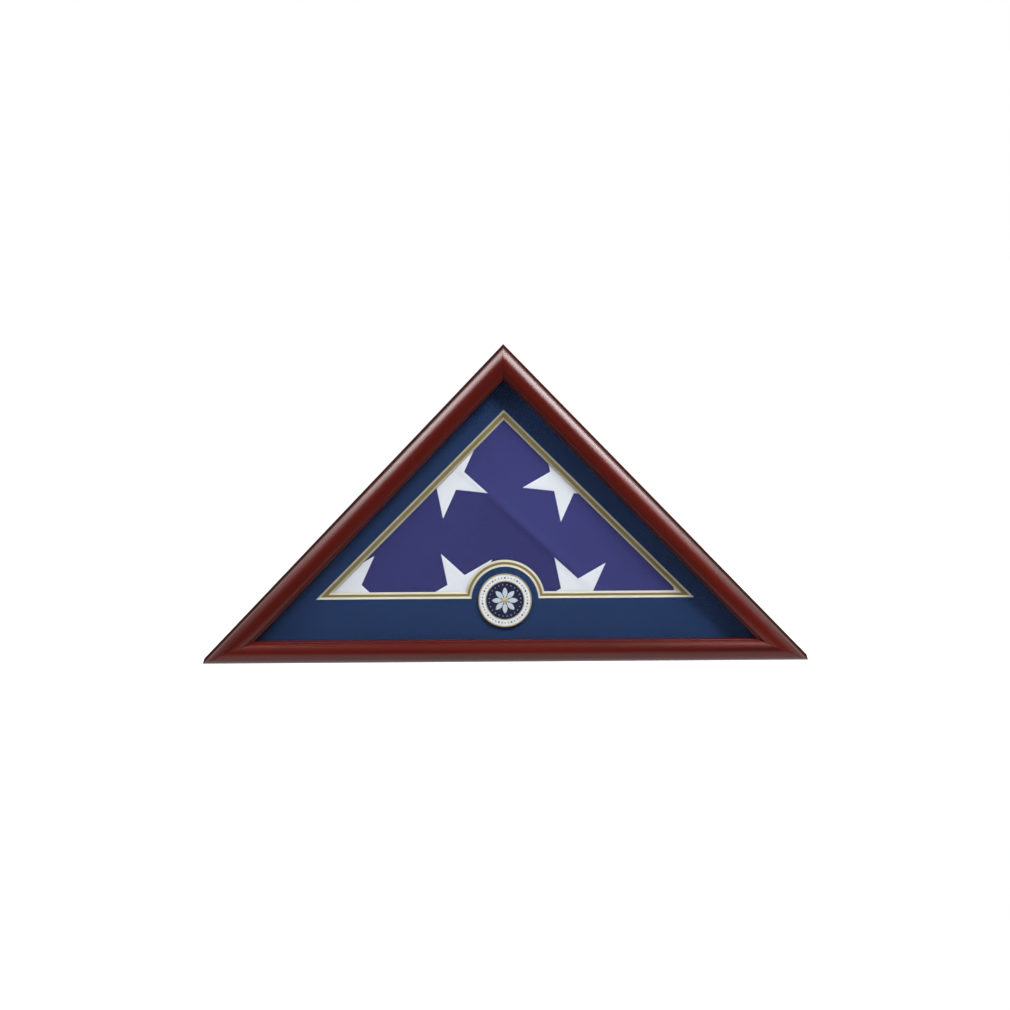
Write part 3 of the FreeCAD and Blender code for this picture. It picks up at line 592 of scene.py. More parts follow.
def finished(bm, name, materials, replaces, attributes=None, smooth=0.6, body="case"):
    """Makes the piece's object from a bmesh, with its attributes, and puts it on its body."""
    outwards(bm)
    for face in bm.faces:
        face.smooth = True
    mesh = bpy.data.meshes.new(name)
    bm.to_mesh(mesh)
    bm.free()
    for label, rule in (attributes or {}).items():
        layer = mesh.attributes.new(label, "FLOAT_VECTOR", "POINT")
        for item, vertex in zip(layer.data, mesh.vertices):
            item.vector = rule(vertex.co)
    mesh.set_sharp_from_angle(angle=smooth)
    for material in materials:
        mesh.materials.append(material)
    piece = bpy.data.objects.new(name, mesh)
    bpy.context.scene.collection.objects.link(piece)
    if replaces:
        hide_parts(*replaces)
    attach(piece, body)
    return piece


def dress(node, material):
    """Gives a CAD node that stays a finish of its own."""
    slots = frame["nodes"][node].data.materials
    slots.clear()
    slots.append(material)


def even(piece):
    """Keeps flat faces flat beside eased edges."""
    modifier = piece.modifiers.new("even_normals", "WEIGHTED_NORMAL")
    modifier.keep_sharp = True


# Mouldings and boards: a side's X runs along it, its Y inwards from its outer edge and its Z back
def side_frame(start, end):
    along = (end - start).normalized()
    inward = Vector((-along.z, 0, along.x))
    place = Vector((0, FRONT, 0)) + (start + end) / 2
    return Matrix.Translation(place) @ Matrix((along, inward, ALONG_Y)).transposed().to_4x4()


APEX, LEFT, RIGHT = Vector((0, 0, RISE)), Vector((-HALF, 0, 0)), Vector((HALF, 0, 0))
SIDES = {
    "left": side_frame(APEX, LEFT),
    "right": side_frame(RIGHT, APEX),
    "bottom": side_frame(LEFT, RIGHT),
}
# The planes of the three mitres: a point on each, and its normal
CUT_X, CUT_Z = math.sin(BASE_BISECTOR), math.cos(BASE_BISECTOR)
MITRES = {
    "apex": (APEX, ALONG_X),
    "left": (LEFT, Vector((CUT_X, 0, -CUT_Z))),
    "right": (RIGHT, Vector((-CUT_X, 0, -CUT_Z))),
}
# The mitres that end a side, and which way along the plane's normal its wood is cut off
ENDS = {
    "left": (("apex", 1), ("left", 1)),
    "right": (("apex", -1), ("right", 1)),
    "bottom": (("left", -1), ("right", -1)),
}
LACQUER_GLOSS, SIDE_GLOSS = 0.8, 0.04
# Where along and across the plank each rail and each board is taken from, so that no two match
RAIL_STEP, BOARD_START, BOARD_STEP = 1.7, 0.9, 1.3
PLANK_ACROSS, PLANK_DEEP = 0.37, 0.21


def mitred(side, section, easing):
    """A rail of the section, cut at both mitres of its side and eased along its length."""
    bm = bmesh.new()
    edges = closed(bm, section, ALONG_X, lambda inset, depth: (-HALF, inset, depth))
    face = bmesh.ops.contextual_create(bm, geom=edges)["faces"][0]
    raised(bm, [face], (2 * HALF, 0, 0))
    moved(bm, SIDES[side])
    for mitre, way in ENDS[side]:
        point, normal = MITRES[mitre]
        bmesh.ops.edgeloop_fill(bm, edges=only(BMEdge, sliced(bm, point, normal * way)))
    outwards(bm)
    ease(bm, easing, along=SIDES[side].col[0].to_3d())
    return bm


def along_side(side, offset):
    """The grain rule of a rail: its own axes, each rail from another part of the plank."""
    back = SIDES[side].inverted()
    plank = Vector((offset, offset * PLANK_ACROSS, offset * PLANK_DEEP))
    return lambda point: back @ point + plank


class FLAGCASE_OT_mouldings(bpy.types.Operator):
    """Runs the three front mouldings and mitres them"""

    bl_idname = "flag_case.mouldings"
    bl_label = "Front Mouldings"

    def execute(self, context):
        s = context.scene.flag_case_joinery
        section = self.section(s)
        lacquer = wooden("mahogany_lacquer", s.wood_dark, s.wood_light, LACQUER_GLOSS)
        shaded_side_stain = wooden("mahogany_side_painted_shade", s.painted_shade_side_dark, s.painted_shade_side_light, SIDE_GLOSS)
        for index, side in enumerate(SIDES):
            bm = mitred(side, section, s.easing)
            # The outer faces of the leg rails and each rail's back edge take the darker side stain:
            # painted shade, with little gloss
            outward = SIDES[side].to_3x3() @ -ALONG_Y
            for face in bm.faces:
                at_box = face.calc_center_median().y > BOX_FACE - MM
                if at_box or face.normal.dot(outward) > FACING and side != "bottom":
                    face.material_index = 1
            piece = finished(
                bm, f"{side}_front_rail", [lacquer, shaded_side_stain], [f"{side}_moulding"],
                {"grain": along_side(side, RAIL_STEP * index)}, 0.5,
            )
            even(piece)
        return {"FINISHED"}

    def section(self, s):
        """Shoulder, slope, bead and rabbet, from the outer edge at the back round to the rabbet."""
        depth = BOX_FACE - FRONT
        lip = s.moulding_width - s.bead
        swing = math.asin((lip - s.shoulder) / s.slope)
        bead = s.slope * (1 - math.cos(swing)) + s.bead_step
        wall = s.moulding_width - s.rabbet
        return [
            (0, depth),
            (0, s.shoulder),
            ((s.shoulder, s.shoulder), QUARTER, 28),
            ((s.shoulder, s.slope), swing, 20),
            (lip, bead),
            ((lip, bead + s.bead), QUARTER, 10),
            (s.moulding_width, depth - s.rabbet_depth),
            (wall, depth - s.rabbet_depth),
            (wall, depth),
        ]


class FLAGCASE_OT_boards(bpy.types.Operator):
    """Cuts the three boards of the box and finishes the joinery inside"""

    bl_idname = "flag_case.boards"
    bl_label = "Box Boards and Joinery"

    def execute(self, context):
        s = context.scene.flag_case_joinery
        front, back = BOX_FACE - FRONT, BACK - FRONT
        land, seat = s.board - s.panel_rabbet, back - s.panel_depth
        section = [(0, front), (s.board, front), (s.board, seat), (land, seat), (land, back), (0, back)]
        # The box boards take the darker side stain, which is painted shade
        shaded_stain = wooden("mahogany_box_painted_shade", s.painted_shade_side_dark, s.painted_shade_side_light, SIDE_GLOSS)
        for index, side in enumerate(SIDES):
            piece = finished(
                mitred(side, section, s.easing), f"{side}_box_side", [shaded_stain], [f"{side}_box_board"],
                {"grain": along_side(side, BOARD_START + BOARD_STEP * index)},
            )
            even(piece)
        raw = wooden("raw_hardwood", s.raw_dark, s.raw_light, 0.0, 0.2, own_grain=False)
        for node in ("moulding_tongues", "box_tongues", "frame_dowels", "apex_block"):
            dress(node, raw)
        black = boarded("black_spacer", s.spacer)
        for side in SIDES:
            dress(f"{side}_spacer", black)
        return {"FINISHED"}


class FLAGCASE_OT_glazing(bpy.types.Operator):
    """Glazes the frame"""

    bl_idname = "flag_case.glazing"
    bl_label = "Glass"

    def execute(self, context):
        dress("glass_pane", clear_glass())
        return {"FINISHED"}


class FLAGCASE_OT_mats(bpy.types.Operator):
    """Cuts the navy mat and the gold mat behind it"""

    bl_idname = "flag_case.mats"
    bl_label = "Mats"

    def execute(self, context):
        s = context.scene.flag_case_mats
        core = boarded("mat_core", s.core, 0.85)
        navy, gold = boarded("navy_board", s.navy), boarded("gold_board", s.gold, 0.55)
        legs, base = s.thickness + s.leg_reveal, s.thickness + s.base_reveal
        self.mat(s, "outer_mat", "navy_mat", 0, 0, [navy, core])
        self.mat(s, "inner_mat", "gold_mat", legs, base, [gold, core])
        return {"FINISHED"}

    def mat(self, s, name, node, draw, base_draw, materials):
        """A mat with its window cut on the bevel."""
        bm = bmesh.new()
        peak = RISE - s.outline * math.hypot(HALF, RISE) / HALF
        reach = (peak - s.outline) * HALF / RISE
        outer = [(-reach, s.outline), (reach, s.outline), (0, peak)]
        loops = []
        for run in (0, s.thickness):
            place = on_front(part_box(node)[0].y + run)
            rim = closed(bm, outer, ALONG_Y, place)
            cut = closed(bm, self.window(s, draw + run, base_draw + run), ALONG_Y, place)
            bmesh.ops.triangle_fill(bm, edges=rim + cut, use_beauty=True)
            loops.append((rim, cut))
        for front, back in zip(*loops):
            for face in bmesh.ops.bridge_loops(bm, edges=front + back)["faces"]:
                face.material_index = 1
        finished(bm, name, materials, [node], smooth=0.35)

    def window(self, s, draw, base_draw):
        """The outline of a window, drawn in from the outer mat's: two legs, a base and the round tab."""
        apex, base, tab = s.apex - draw * math.sqrt(2), s.base + base_draw, s.tab + base_draw
        start = math.sqrt(tab**2 - (base - TAB.z) ** 2)
        swing = math.pi - 2 * math.asin((base - TAB.z) / tab)
        half = apex - base
        return [(0, apex), (-half, base), (-start, base), ((0, TAB.z), swing, 48), (half, base)]


class FLAGCASE_OT_medallion(bpy.types.Operator):
    """Strikes the enamelled medallion, with beads on its ring and a rosette"""

    bl_idname = "flag_case.medallion"
    bl_label = "Medallion"

    steps, gap, easing = 96, 0.05 * MM, 0.3 * MM
    root, petal, boss = 2.9 * MM, 2.6 * MM, 3.6 * MM
    large_bead, small_bead, bead_height = 1.15 * MM, 0.72 * MM, 0.25 * MM
    dots, dot, dot_ring = 24, 0.5 * MM, 17 * MM
    petal_edge = 0.6

    def execute(self, context):
        s = context.scene.flag_case_medallion
        gilt = metallic("gilt_metal", s.gilt, 0.34)
        white = enamelled("white_enamel", s.white)
        field = enamelled("navy_enamel", s.field)
        silver = enamelled("silver_relief", s.silver)
        slate = enamelled("slate_beads", s.slate)
        self.coin(s, gilt)
        self.ring(s, [white, slate])
        self.centre(s, [field, silver])
        self.rosette(s, [silver, gilt])
        dress("medallion_pad", boarded("foam_tape", s.tape))
        return {"FINISHED"}

    def coin(self, s, gilt):
        """The disc, with a raised rim and a raised fillet."""
        face, back = COIN_LOW.y, COIN_HIGH.y
        floor, top = face + s.recess, face + self.easing
        profile = [(0, floor)]
        for inner, outer in ((s.fillet, s.fillet + s.fillet_width), (s.radius - s.rim, s.radius)):
            profile += [
                (inner, floor), (inner, top), (inner + self.easing, face),
                (outer - self.easing, face), (outer, top), (outer, floor),
            ]
        bm = bmesh.new()
        turned(bm, profile[:-1] + [(s.radius, back), (0, back)], TAB, self.steps)
        finished(bm, "medallion_coin", [gilt], ["medallion_disc"], smooth=0.5)

    def ring(self, s, materials):
        """The white ring, where every fourth bead is a large one."""
        low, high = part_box("medallion_ring")
        inner, outer = s.fillet + s.fillet_width, s.radius - s.rim
        start, end = inner + self.gap, outer - self.gap
        bm = bmesh.new()
        profile = [(start, low.y), (end, low.y), (end, high.y), (start, high.y), (start, low.y)]
        turned(bm, profile, TAB, self.steps)
        sizes = [self.large_bead] + 3 * [self.small_bead]
        self.beads(bm, s.beads, 0, (inner + outer) / 2, low.y, sizes, 10)
        finished(bm, "ring_enamel", materials, ["medallion_ring"], smooth=0.8)

    def centre(self, s, materials):
        """The navy field, with a ring of dots."""
        low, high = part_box("medallion_centre")
        edge = s.fillet - self.gap
        bm = bmesh.new()
        turned(bm, [(0, low.y), (edge, low.y), (edge, high.y), (0, high.y)], TAB, self.steps)
        self.beads(bm, self.dots, 0.5, self.dot_ring, low.y, [self.dot], 8)
        finished(bm, "centre_enamel", materials, ["medallion_centre"], smooth=0.8)

    def beads(self, bm, total, shift, radius, depth, sizes, steps):
        """Sets beads on a ring, the sizes in turn."""
        first = len(bm.faces)
        for index in range(total):
            angle = ROUND * (index + shift) / total
            spot = Vector((radius * math.sin(angle), depth, TAB.z + radius * math.cos(angle)))
            dome(bm, spot, sizes[index % len(sizes)], self.bead_height, 2, steps)
        second_material(bm, first)

    def rosette(self, s, materials):
        """Petals with a raised rib, round a domed boss."""
        low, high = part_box("medallion_rosette")
        bm = bmesh.new()
        spread = (s.rosette - self.root) / 2
        bow = (spread**2 + self.petal**2) / (2 * self.petal)
        swing = 2 * math.asin(spread / bow)
        middle, drop = self.root + spread, bow - self.petal
        outline = [(self.root, 0), ((middle, drop), swing, 10), ((middle, -drop), swing, 10)]
        edges = closed(bm, outline, -ALONG_Y, lambda x, z: (x, high.y, TAB.z + z))
        face = bmesh.ops.contextual_create(bm, geom=edges)["faces"][0]
        top = only(BMFace, bmesh.ops.extrude_face_region(bm, geom=[face])["geom"])[0]
        bmesh.ops.translate(bm, verts=list(top.verts), vec=(0, (low.y - high.y) * self.petal_edge, 0))
        bmesh.ops.poke(bm, faces=[top])["verts"][0].co.y = low.y
        bmesh.ops.spin(
            bm, geom=whole(bm), cent=TAB, axis=ALONG_Y, angle=ROUND * (s.petals - 1) / s.petals,
            steps=s.petals - 1, use_duplicate=True,
        )
        first = len(bm.faces)
        dome(bm, Vector((0, high.y, TAB.z)), self.boss, high.y - low.y, 5, 24)
        second_material(bm, first)
        finished(bm, "rosette", materials, ["medallion_rosette"], smooth=0.5)


# Flag: its hoist and fly lie at a slant in the front view
FLAG_LOW, FLAG_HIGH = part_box("folded_flag")
FLAG_UP = Vector((0.676, 0, 0.737))
FLAG_FLY = Vector((0.737, 0, -0.676))
FLAP_DEPTH = 1.6 * MM
TOP_LAYER = FLAG_LOW.y + FLAP_DEPTH
LAYER_CLEAR, LAYER_THICKNESS = 0.25 * MM, 0.5 * MM
# The tuck beneath the top layer: its slope across the ridge, the fold on it and the share of each
SLOPE_FOOT, SLOPE_TOP, SLOPE_SHARE = -5 * MM, 3 * MM, 0.55
FOLD_AT, FOLD_WIDTH, FOLD_SHARE = 2 * MM, 5 * MM, 0.35
RELIEF_SHARE = 0.92
# How much of the tuck and of its painted light and shade shows at least, and where along the fly each
# comes and goes
TUCK_SHOWS = (0.35, (-0.16, -0.08), (-0.01, 0.09))
TONE_SHOWS = (0.25, (-0.19, -0.10), (0.0, 0.10))
# Height of a slight wave, its radians for each metre of X and Z, and its start
WAVES = ((0.16 * MM, 34, 11, 0), (0.12 * MM, -43, 19, 1.3))
# Painted light above the tuck and painted shade below it: its even level, swing and edge, and how far
# each reaches
TONE_EVEN, TONE_SWING, TONE_EDGE = 0.5, 0.42, 2 * MM
PALE_REACH, DEEP_REACH = 0.12, 0.07
CORNER_CUT, CORNER_RISE = 5.8 * MM, 6 * MM
STAR_START = Vector((-0.0605, 0, 0.1987))
STAR_DRIFT = Vector((-0.0046, 0, 0))
STAR_ROWS, STAR_COLUMNS = range(-6, 7), range(-7, 8)
STAR_POINTS, STAR_WAIST, STAR_CUTS = 5, 0.381966, 7
STITCH_EDGE = 0.45


def eased_step(value, low, high):
    t = min(1, max(0, (value - low) / (high - low)))
    return t * t * (3 - 2 * t)


def along_tuck(run, least, rise, fall):
    """How much of the tuck shows along the fly, where it comes up and dies away."""
    return least + (1 - least) * eased_step(run, *rise) * (1 - eased_step(run, *fall))


def relief(s, x, z):
    """How far the top layer stands forward: a tuck beneath it, a soft fold and slight waves."""
    height = FLAG_UP.x * x + FLAG_UP.z * z
    run = FLAG_FLY.x * x + FLAG_FLY.z * z
    slope = eased_step(height, s.ridge + SLOPE_FOOT, s.ridge + SLOPE_TOP)
    fold = math.exp(-(((height - s.ridge - FOLD_AT) / FOLD_WIDTH) ** 2))
    shown = along_tuck(run, *TUCK_SHOWS)
    waves = sum(tall * math.sin(by_x * x + by_z * z + start) for tall, by_x, by_z, start in WAVES)
    return s.tuck * (SLOPE_SHARE * slope + FOLD_SHARE * fold * shown) + waves


def flag_face(s, x, z):
    """The depth of the top layer's front."""
    return TOP_LAYER + LAYER_CLEAR - relief(s, x, z) * RELIEF_SHARE


def painted_tuck_tone(s, point):
    """Painted light and shade on the layer that shows: paler above the tuck, where light would fall, and
    deeper just below it, where shade would fall.
    """
    if point.y > TOP_LAYER + LAYER_THICKNESS:
        return (TONE_EVEN, 0, 0)
    above = FLAG_UP.dot(point) - s.ridge
    side = eased_step(above, -TONE_EDGE, TONE_EDGE)
    pale = math.exp(-max(0, above) / PALE_REACH) * side
    deep = math.exp(min(0, above) / DEEP_REACH) * (1 - side)
    shown = along_tuck(FLAG_FLY.dot(point), *TONE_SHOWS)
    return (TONE_EVEN + TONE_SWING * shown * (pale - deep), 0, 0)


def flag_outline(draw):
    """The planes that bound the folded triangle, drawn in: (point, outward normal)."""
    slope = Vector((RISE, 0, HALF)).normalized()
    base = (Vector((0, 0, FLAG_LOW.z + draw)), -ALONG_Z)
    top = (Vector((0, 0, FLAG_HIGH.z - draw)), ALONG_Z)
    legs, feet = [], []
    for way in (-1, 1):
        leg = Vector((way * slope.x, 0, slope.z))
        corner = Vector((way * FLAG_HIGH.x, 0, FLAG_LOW.z + CORNER_RISE))
        foot = Vector((way * (FLAG_HIGH.x - CORNER_CUT - draw), 0, FLAG_LOW.z + draw))
        legs.append((corner - leg * draw, leg))
        feet.append((foot, Vector((way, 0, -1)).normalized()))
    return [base, *legs, top, *feet]


def trimmed(bm, planes):
    for point, normal in planes:
        sliced(bm, point, normal)


def cloth_sheet(depth, segments, reach, draw):
    """A flat sheet in the front view, trimmed to the folded triangle."""
    part = bmesh.new()
    place = Matrix.Translation((0, depth, (FLAG_LOW.z + FLAG_HIGH.z) / 2)) @ UPRIGHT
    bmesh.ops.create_grid(part, x_segments=segments, y_segments=segments, size=reach, matrix=place)
    trimmed(part, flag_outline(draw))
    return part


def star_spots(s):
    """Centres of the stars: staggered rows along the fly, which draw together past the tuck."""
    for row in STAR_ROWS:
        for column in STAR_COLUMNS:
            if (row + column) % 2 == 0:
                spot = STAR_START + FLAG_UP * (row * s.row) + FLAG_FLY * (column * s.column)
                yield spot + STAR_DRIFT * max(0, column - 1)


def star_part(s, spot, planes, face):
    """One embroidered star, trimmed to the face and laid on it, or nothing where it falls outside."""
    part = bmesh.new()
    corners = 2 * STAR_POINTS
    bmesh.ops.create_circle(part, cap_ends=True, cap_tris=True, segments=corners, radius=s.star)
    moved(part, UPRIGHT)
    for vertex in [v for v in part.verts if v.co.length > s.star / 2]:
        index = round(math.atan2(vertex.co.z, vertex.co.x) / (ROUND / corners) - 0.5)
        radius = s.star if index % 2 == 0 else s.star * STAR_WAIST
        angle = math.radians(s.star_turn) + index * ROUND / corners
        vertex.co = Vector((radius * math.cos(angle), 0, radius * math.sin(angle)))
    bmesh.ops.subdivide_edges(part, edges=part.edges[:], cuts=STAR_CUTS, use_grid_fill=True)
    bmesh.ops.translate(part, verts=part.verts[:], vec=spot)
    trimmed(part, planes)
    if not part.faces:
        part.free()
        return None
    above = set(raised(part, part.faces[:], ORIGIN))
    edge = {v for v in above if any(len({w in above for w in f.verts}) == 2 for f in v.link_faces)}
    for vertex in part.verts:
        stand = s.stitch * (STITCH_EDGE if vertex in edge else 1) if vertex in above else 0
        vertex.co.y = face(vertex.co.x, vertex.co.z, stand)
    return part


class FLAGCASE_OT_flag(bpy.types.Operator):
    """Folds the flag into its triangle and sews its stars"""

    bl_idname = "flag_case.flag"
    bl_label = "Folded Flag"

    grid, grid_reach, grid_inset = 210, 0.27, 1.0 * MM
    seed, pile_reach, fullness = 7, 0.3, 0.9
    pile_front, pile_back = 0.9 * MM, 0.45 * MM
    tucks = (1.3 * MM, 0.25 * MM, 0.25 * MM, 1.3 * MM)
    turn_wander, layer_wander = 0.9, 0.25
    star_inset, star_sink, rear_sink = 2.5 * MM, 0.05 * MM, 0.55 * MM

    def execute(self, context):
        s = context.scene.flag_case_flag
        cloth = dyed_cloth("flag_cotton", s.cloth)
        thread = stitched("star_thread", s.thread)
        bm = bmesh.new()
        self.top_layer(s, bm)
        self.pile(s, bm)
        rules = {
            "threads": lambda point: (FLAG_FLY.dot(point), FLAG_UP.dot(point), point.y),
            # Painted light above the tuck and painted shade below it
            "painted_tuck_shading": lambda point: painted_tuck_tone(s, point),
        }
        flag = finished(bm, "folded_cloth", [cloth], ["folded_flag"], rules, 0.7)
        stars = self.stars(s, thread)
        return {"FINISHED"}

    def top_layer(self, s, bm):
        """The layer that shows, with the tuck beneath it."""
        part = cloth_sheet(0, self.grid, self.grid_reach, self.grid_inset)
        behind = set(raised(part, part.faces[:], ORIGIN))
        for vertex in part.verts:
            thickness = LAYER_THICKNESS if vertex in behind else 0
            vertex.co.y = flag_face(s, vertex.co.x, vertex.co.z) + thickness
        joined(bm, part)

    def pile(self, s, bm):
        """The turns behind it: each is four layers, of which the two inner ones come further out."""
        draw = random.Random(self.seed)
        start, end = TOP_LAYER + self.pile_front, FLAG_HIGH.y - self.pile_back
        pitch = (end - start) / (s.turns * len(self.tucks))
        for turn in range(s.turns):
            wander = draw.uniform(0, self.turn_wander) * MM
            for layer, tuck in enumerate(self.tucks):
                depth = start + (turn * len(self.tucks) + layer) * pitch
                inset = tuck + wander + draw.uniform(0, self.layer_wander) * MM
                part = cloth_sheet(depth, 2, self.pile_reach, inset)
                raised(part, part.faces[:], (0, pitch * self.fullness, 0))
                joined(bm, part)

    def stars(self, s, thread):
        """Stars of the front and of the layer at the back."""
        pieces = []
        planes = flag_outline(self.star_inset)
        rules = {"threads": lambda point: (FLAG_UP.dot(point), FLAG_FLY.dot(point), point.y)}
        for label, face in (
            ("front_stars", lambda x, z, lift: flag_face(s, x, z) + self.star_sink - lift),
            ("rear_stars", lambda x, z, lift: FLAG_HIGH.y - self.rear_sink + lift),
        ):
            bm = bmesh.new()
            for spot in star_spots(s):
                part = star_part(s, spot, planes, face)
                if part:
                    joined(bm, part)
            pieces.append(finished(bm, label, [thread], (), rules, 0.7))
        return pieces


class FLAGCASE_OT_back(bpy.types.Operator):
    """Finishes the lift-off back panel and the fixed tip above it"""

    bl_idname = "flag_case.back"
    bl_label = "Back Panel and Tip"

    def execute(self, context):
        s = context.scene.flag_case_hardware
        panel = boarded("hardboard", s.panel, 0.6)
        for node in ("back_panel", "back_tip"):
            dress(node, panel)
        return {"FINISHED"}


class FLAGCASE_OT_turn_buttons(bpy.types.Operator):
    """Stamps the turn buttons, and turns their screws with a cross recess"""

    bl_idname = "flag_case.turn_buttons"
    bl_label = "Turn Buttons and Screws"

    edge, head, rise, shank, flat = 0.3 * MM, 3.5 * MM, 2 * MM, 1.75 * MM, 0.1 * MM
    arm, half, depth, shoal = 1.9 * MM, 0.42 * MM, 0.9 * MM, 0.6
    crown, pressed = 1.9 * MM, 1.2 * MM

    def execute(self, context):
        s = context.scene.flag_case_hardware
        nickel = metallic("nickel_plate", s.nickel, 0.28)
        zinc = metallic("zinc_plate", s.zinc, 0.32)
        pivots = {}
        for joint in frame["joints"]:
            if joint["child"].startswith("turn_button"):
                pivots[joint["child"]] = Vector(joint["pos_m"])
        for name, pivot in pivots.items():
            self.button(s, name, pivot, nickel)
        self.screws(pivots.values(), zinc)
        return {"FINISHED"}

    def button(self, s, name, pivot, nickel):
        """A bored plate with two round ends, which lies the way its CAD node does."""
        low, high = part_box(name)
        centre = (low + high) / 2
        heading = math.atan2(centre.z - pivot.z, centre.x - pivot.x)
        taper = math.acos((s.hub - s.tip) / s.reach)
        outline = [
            (s.hub * math.cos(taper), s.hub * math.sin(taper)),
            ((0, 0), 2 * (math.pi - taper), 28),
            (s.reach + s.tip * math.cos(taper), -s.tip * math.sin(taper)),
            ((s.reach, 0), 2 * taper, 24),
        ]
        bm = bmesh.new()
        edges = closed(bm, outline, -ALONG_Y, on_front(low.y))
        edges += hole(bm, (0, low.y, 0), s.bore, 20)
        bmesh.ops.triangle_fill(bm, edges=edges, use_beauty=True)
        raised(bm, bm.faces[:], (0, high.y - low.y, 0))
        outwards(bm)
        ease(bm, self.edge, 1.0)
        place = Matrix.Translation((pivot.x, 0, pivot.z)) @ Matrix.Rotation(-heading, 4, "Y")
        moved(bm, place)
        even(finished(bm, f"{name}_plate", [nickel], [name], body=name))

    def screws(self, pivots, zinc):
        """Pointed screws with a domed head, whose edge has a small flat."""
        low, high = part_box("turn_button_screws")
        head, shank, flat = self.head, self.shank, self.flat
        under = high.y - self.rise
        ball = (head**2 + self.rise**2) / (2 * self.rise)
        profile = [
            (0, low.y), (shank, low.y + shank), (shank, under), (head - flat, under),
            (head, under + flat), ((0, high.y - ball), math.asin(head / ball) * 0.995, 10),
        ]
        every = bmesh.new()
        for pivot in pivots:
            bm = bmesh.new()
            turned(bm, profile, ORIGIN, 32)
            self.cross(bm, high.y)
            bmesh.ops.translate(bm, verts=bm.verts[:], vec=(pivot.x, 0, pivot.z))
            joined(every, bm)
        finished(every, "button_screws", [zinc], ["turn_button_screws"])

    def cross(self, bm, top):
        """Presses a cross recess into the head, deepest in the middle."""
        for turn in range(4):
            angle = turn * QUARTER
            for way in (-1, 1):
                normal = Vector((-math.sin(angle) * way, 0, math.cos(angle) * way))
                faces = [f for f in bm.faces if f.calc_center_median().y > top - self.crown]
                parts = {v for f in faces for v in f.verts} | {e for f in faces for e in f.edges}
                sliced(bm, normal * self.half, normal, False, list(parts | set(faces)))
        for vertex in bm.verts:
            across, far = sorted((abs(vertex.co.x), abs(vertex.co.z)))
            inside = across < self.half * 0.99 and far < self.arm
            if inside and vertex.co.y > top - self.pressed:
                vertex.co.y -= self.depth * (1 - self.shoal * far / self.arm)


class FLAGCASE_OT_hanger(bpy.types.Operator):
    """Stamps the sawtooth hanger and drives its two nails"""

    bl_idname = "flag_case.hanger"
    bl_label = "Sawtooth Hanger"

    strip, ramp, bridge = 0.9 * MM, 11 * MM, 8.5 * MM
    teeth, pitch, tooth = 11, 1.4 * MM, 1.6 * MM
    spread, bore, shank, head = 15.5 * MM, 1 * MM, 0.9 * MM, 2 * MM
    brim, shoulder = 0.5 * MM, 0.85 * MM

    def execute(self, context):
        s = context.scene.flag_case_hardware
        brass = metallic("brass_plate", s.brass, 0.30)
        low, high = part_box("sawtooth_hanger")
        level = (low.z + high.z) / 2
        bm = bmesh.new()
        edges = closed(bm, self.outline(low, high), ALONG_Y, on_front(low.y))
        for end in (-1, 1):
            edges += hole(bm, (end * self.spread, low.y, level), self.bore, 18)
        bmesh.ops.triangle_fill(bm, edges=edges, use_beauty=True)
        for bend in (-self.ramp, -self.bridge, self.bridge, self.ramp):
            sliced(bm, (bend, 0, 0), ALONG_X, clear=False)
        raised(bm, bm.faces[:], (0, self.strip, 0))
        lift = high.y - low.y - self.strip
        for vertex in bm.verts:
            share = (self.ramp - abs(vertex.co.x)) / (self.ramp - self.bridge)
            vertex.co.y += lift * min(1, max(0, share))
        finished(bm, "saw_hanger", [brass], ["sawtooth_hanger"], smooth=0.4)
        self.nails(level, low.y + self.strip, brass)
        return {"FINISHED"}

    def outline(self, low, high):
        """A strip with teeth in the middle of its lower edge."""
        first = -self.pitch * self.teeth / 2
        points = [(low.x, low.z)]
        for index in range(self.teeth):
            foot = first + index * self.pitch
            points += [(foot, low.z), (foot + self.pitch / 2, low.z + self.tooth)]
        return points + [(-first, low.z), (high.x, low.z), (high.x, high.z), (low.x, high.z)]

    def nails(self, level, seat, brass):
        """Two pointed nails with rounded heads on the hanger."""
        low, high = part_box("hanger_nails")
        shank, head = self.shank, self.head
        profile = [
            (0, low.y), (shank, low.y + 2 * shank), (shank, seat), (head, seat), (head, seat + self.brim),
            (head * 0.75, seat + self.shoulder), (head * 0.4, high.y), (0, high.y),
        ]
        both = bmesh.new()
        for end in (-1, 1):
            bm = bmesh.new()
            turned(bm, profile, ORIGIN, 24)
            bmesh.ops.translate(bm, verts=bm.verts[:], vec=(end * self.spread, 0, level))
            joined(both, bm)
        finished(both, "brass_nails", [brass], ["hanger_nails"], smooth=0.5)


# Each lamp's power, share of it, place, width and height, and the rays that don't see it
LAMPS = {
    "key_lamp": ("key", 1, (0.55, -1.15, 1.30), 0.45, 0.45, "visible_glossy"),
    "fill_lamp": ("fill", 1, (-0.95, -1.2, 1.1), 0.7, 0.7, "visible_glossy"),
    "back_lamp": ("back", 1, (0.55, 1.6, 0.45), 0.9, 0.9, "visible_glossy"),
    "top_lamp": ("top", 1, (0, 0.42, 1.3), 1.3, 0.3, "visible_diffuse"),
    "left_rim_lamp": ("rim", 1, (-0.58, -0.05, 0.745), 0.85, 0.26, "visible_diffuse"),
    "right_rim_lamp": ("rim", 1.6, (0.58, -0.11, 0.745), 0.85, 0.26, "visible_diffuse"),
}
FLOOR_REACH = 9
# What reflections see of the floor and the sky, in front and behind, and where along Y it changes
FLOOR_GLOW, SKY_GLOW = ((0.02, 1.6), (-0.11, -0.05)), ((0.03, 1.0), (-0.1, 0.5))
# The floor's glow at full level, and its grey to the lamps and to reflections
FLOOR_WHITE, FLOOR_GREY = 0.94, (0.30, 0.03)


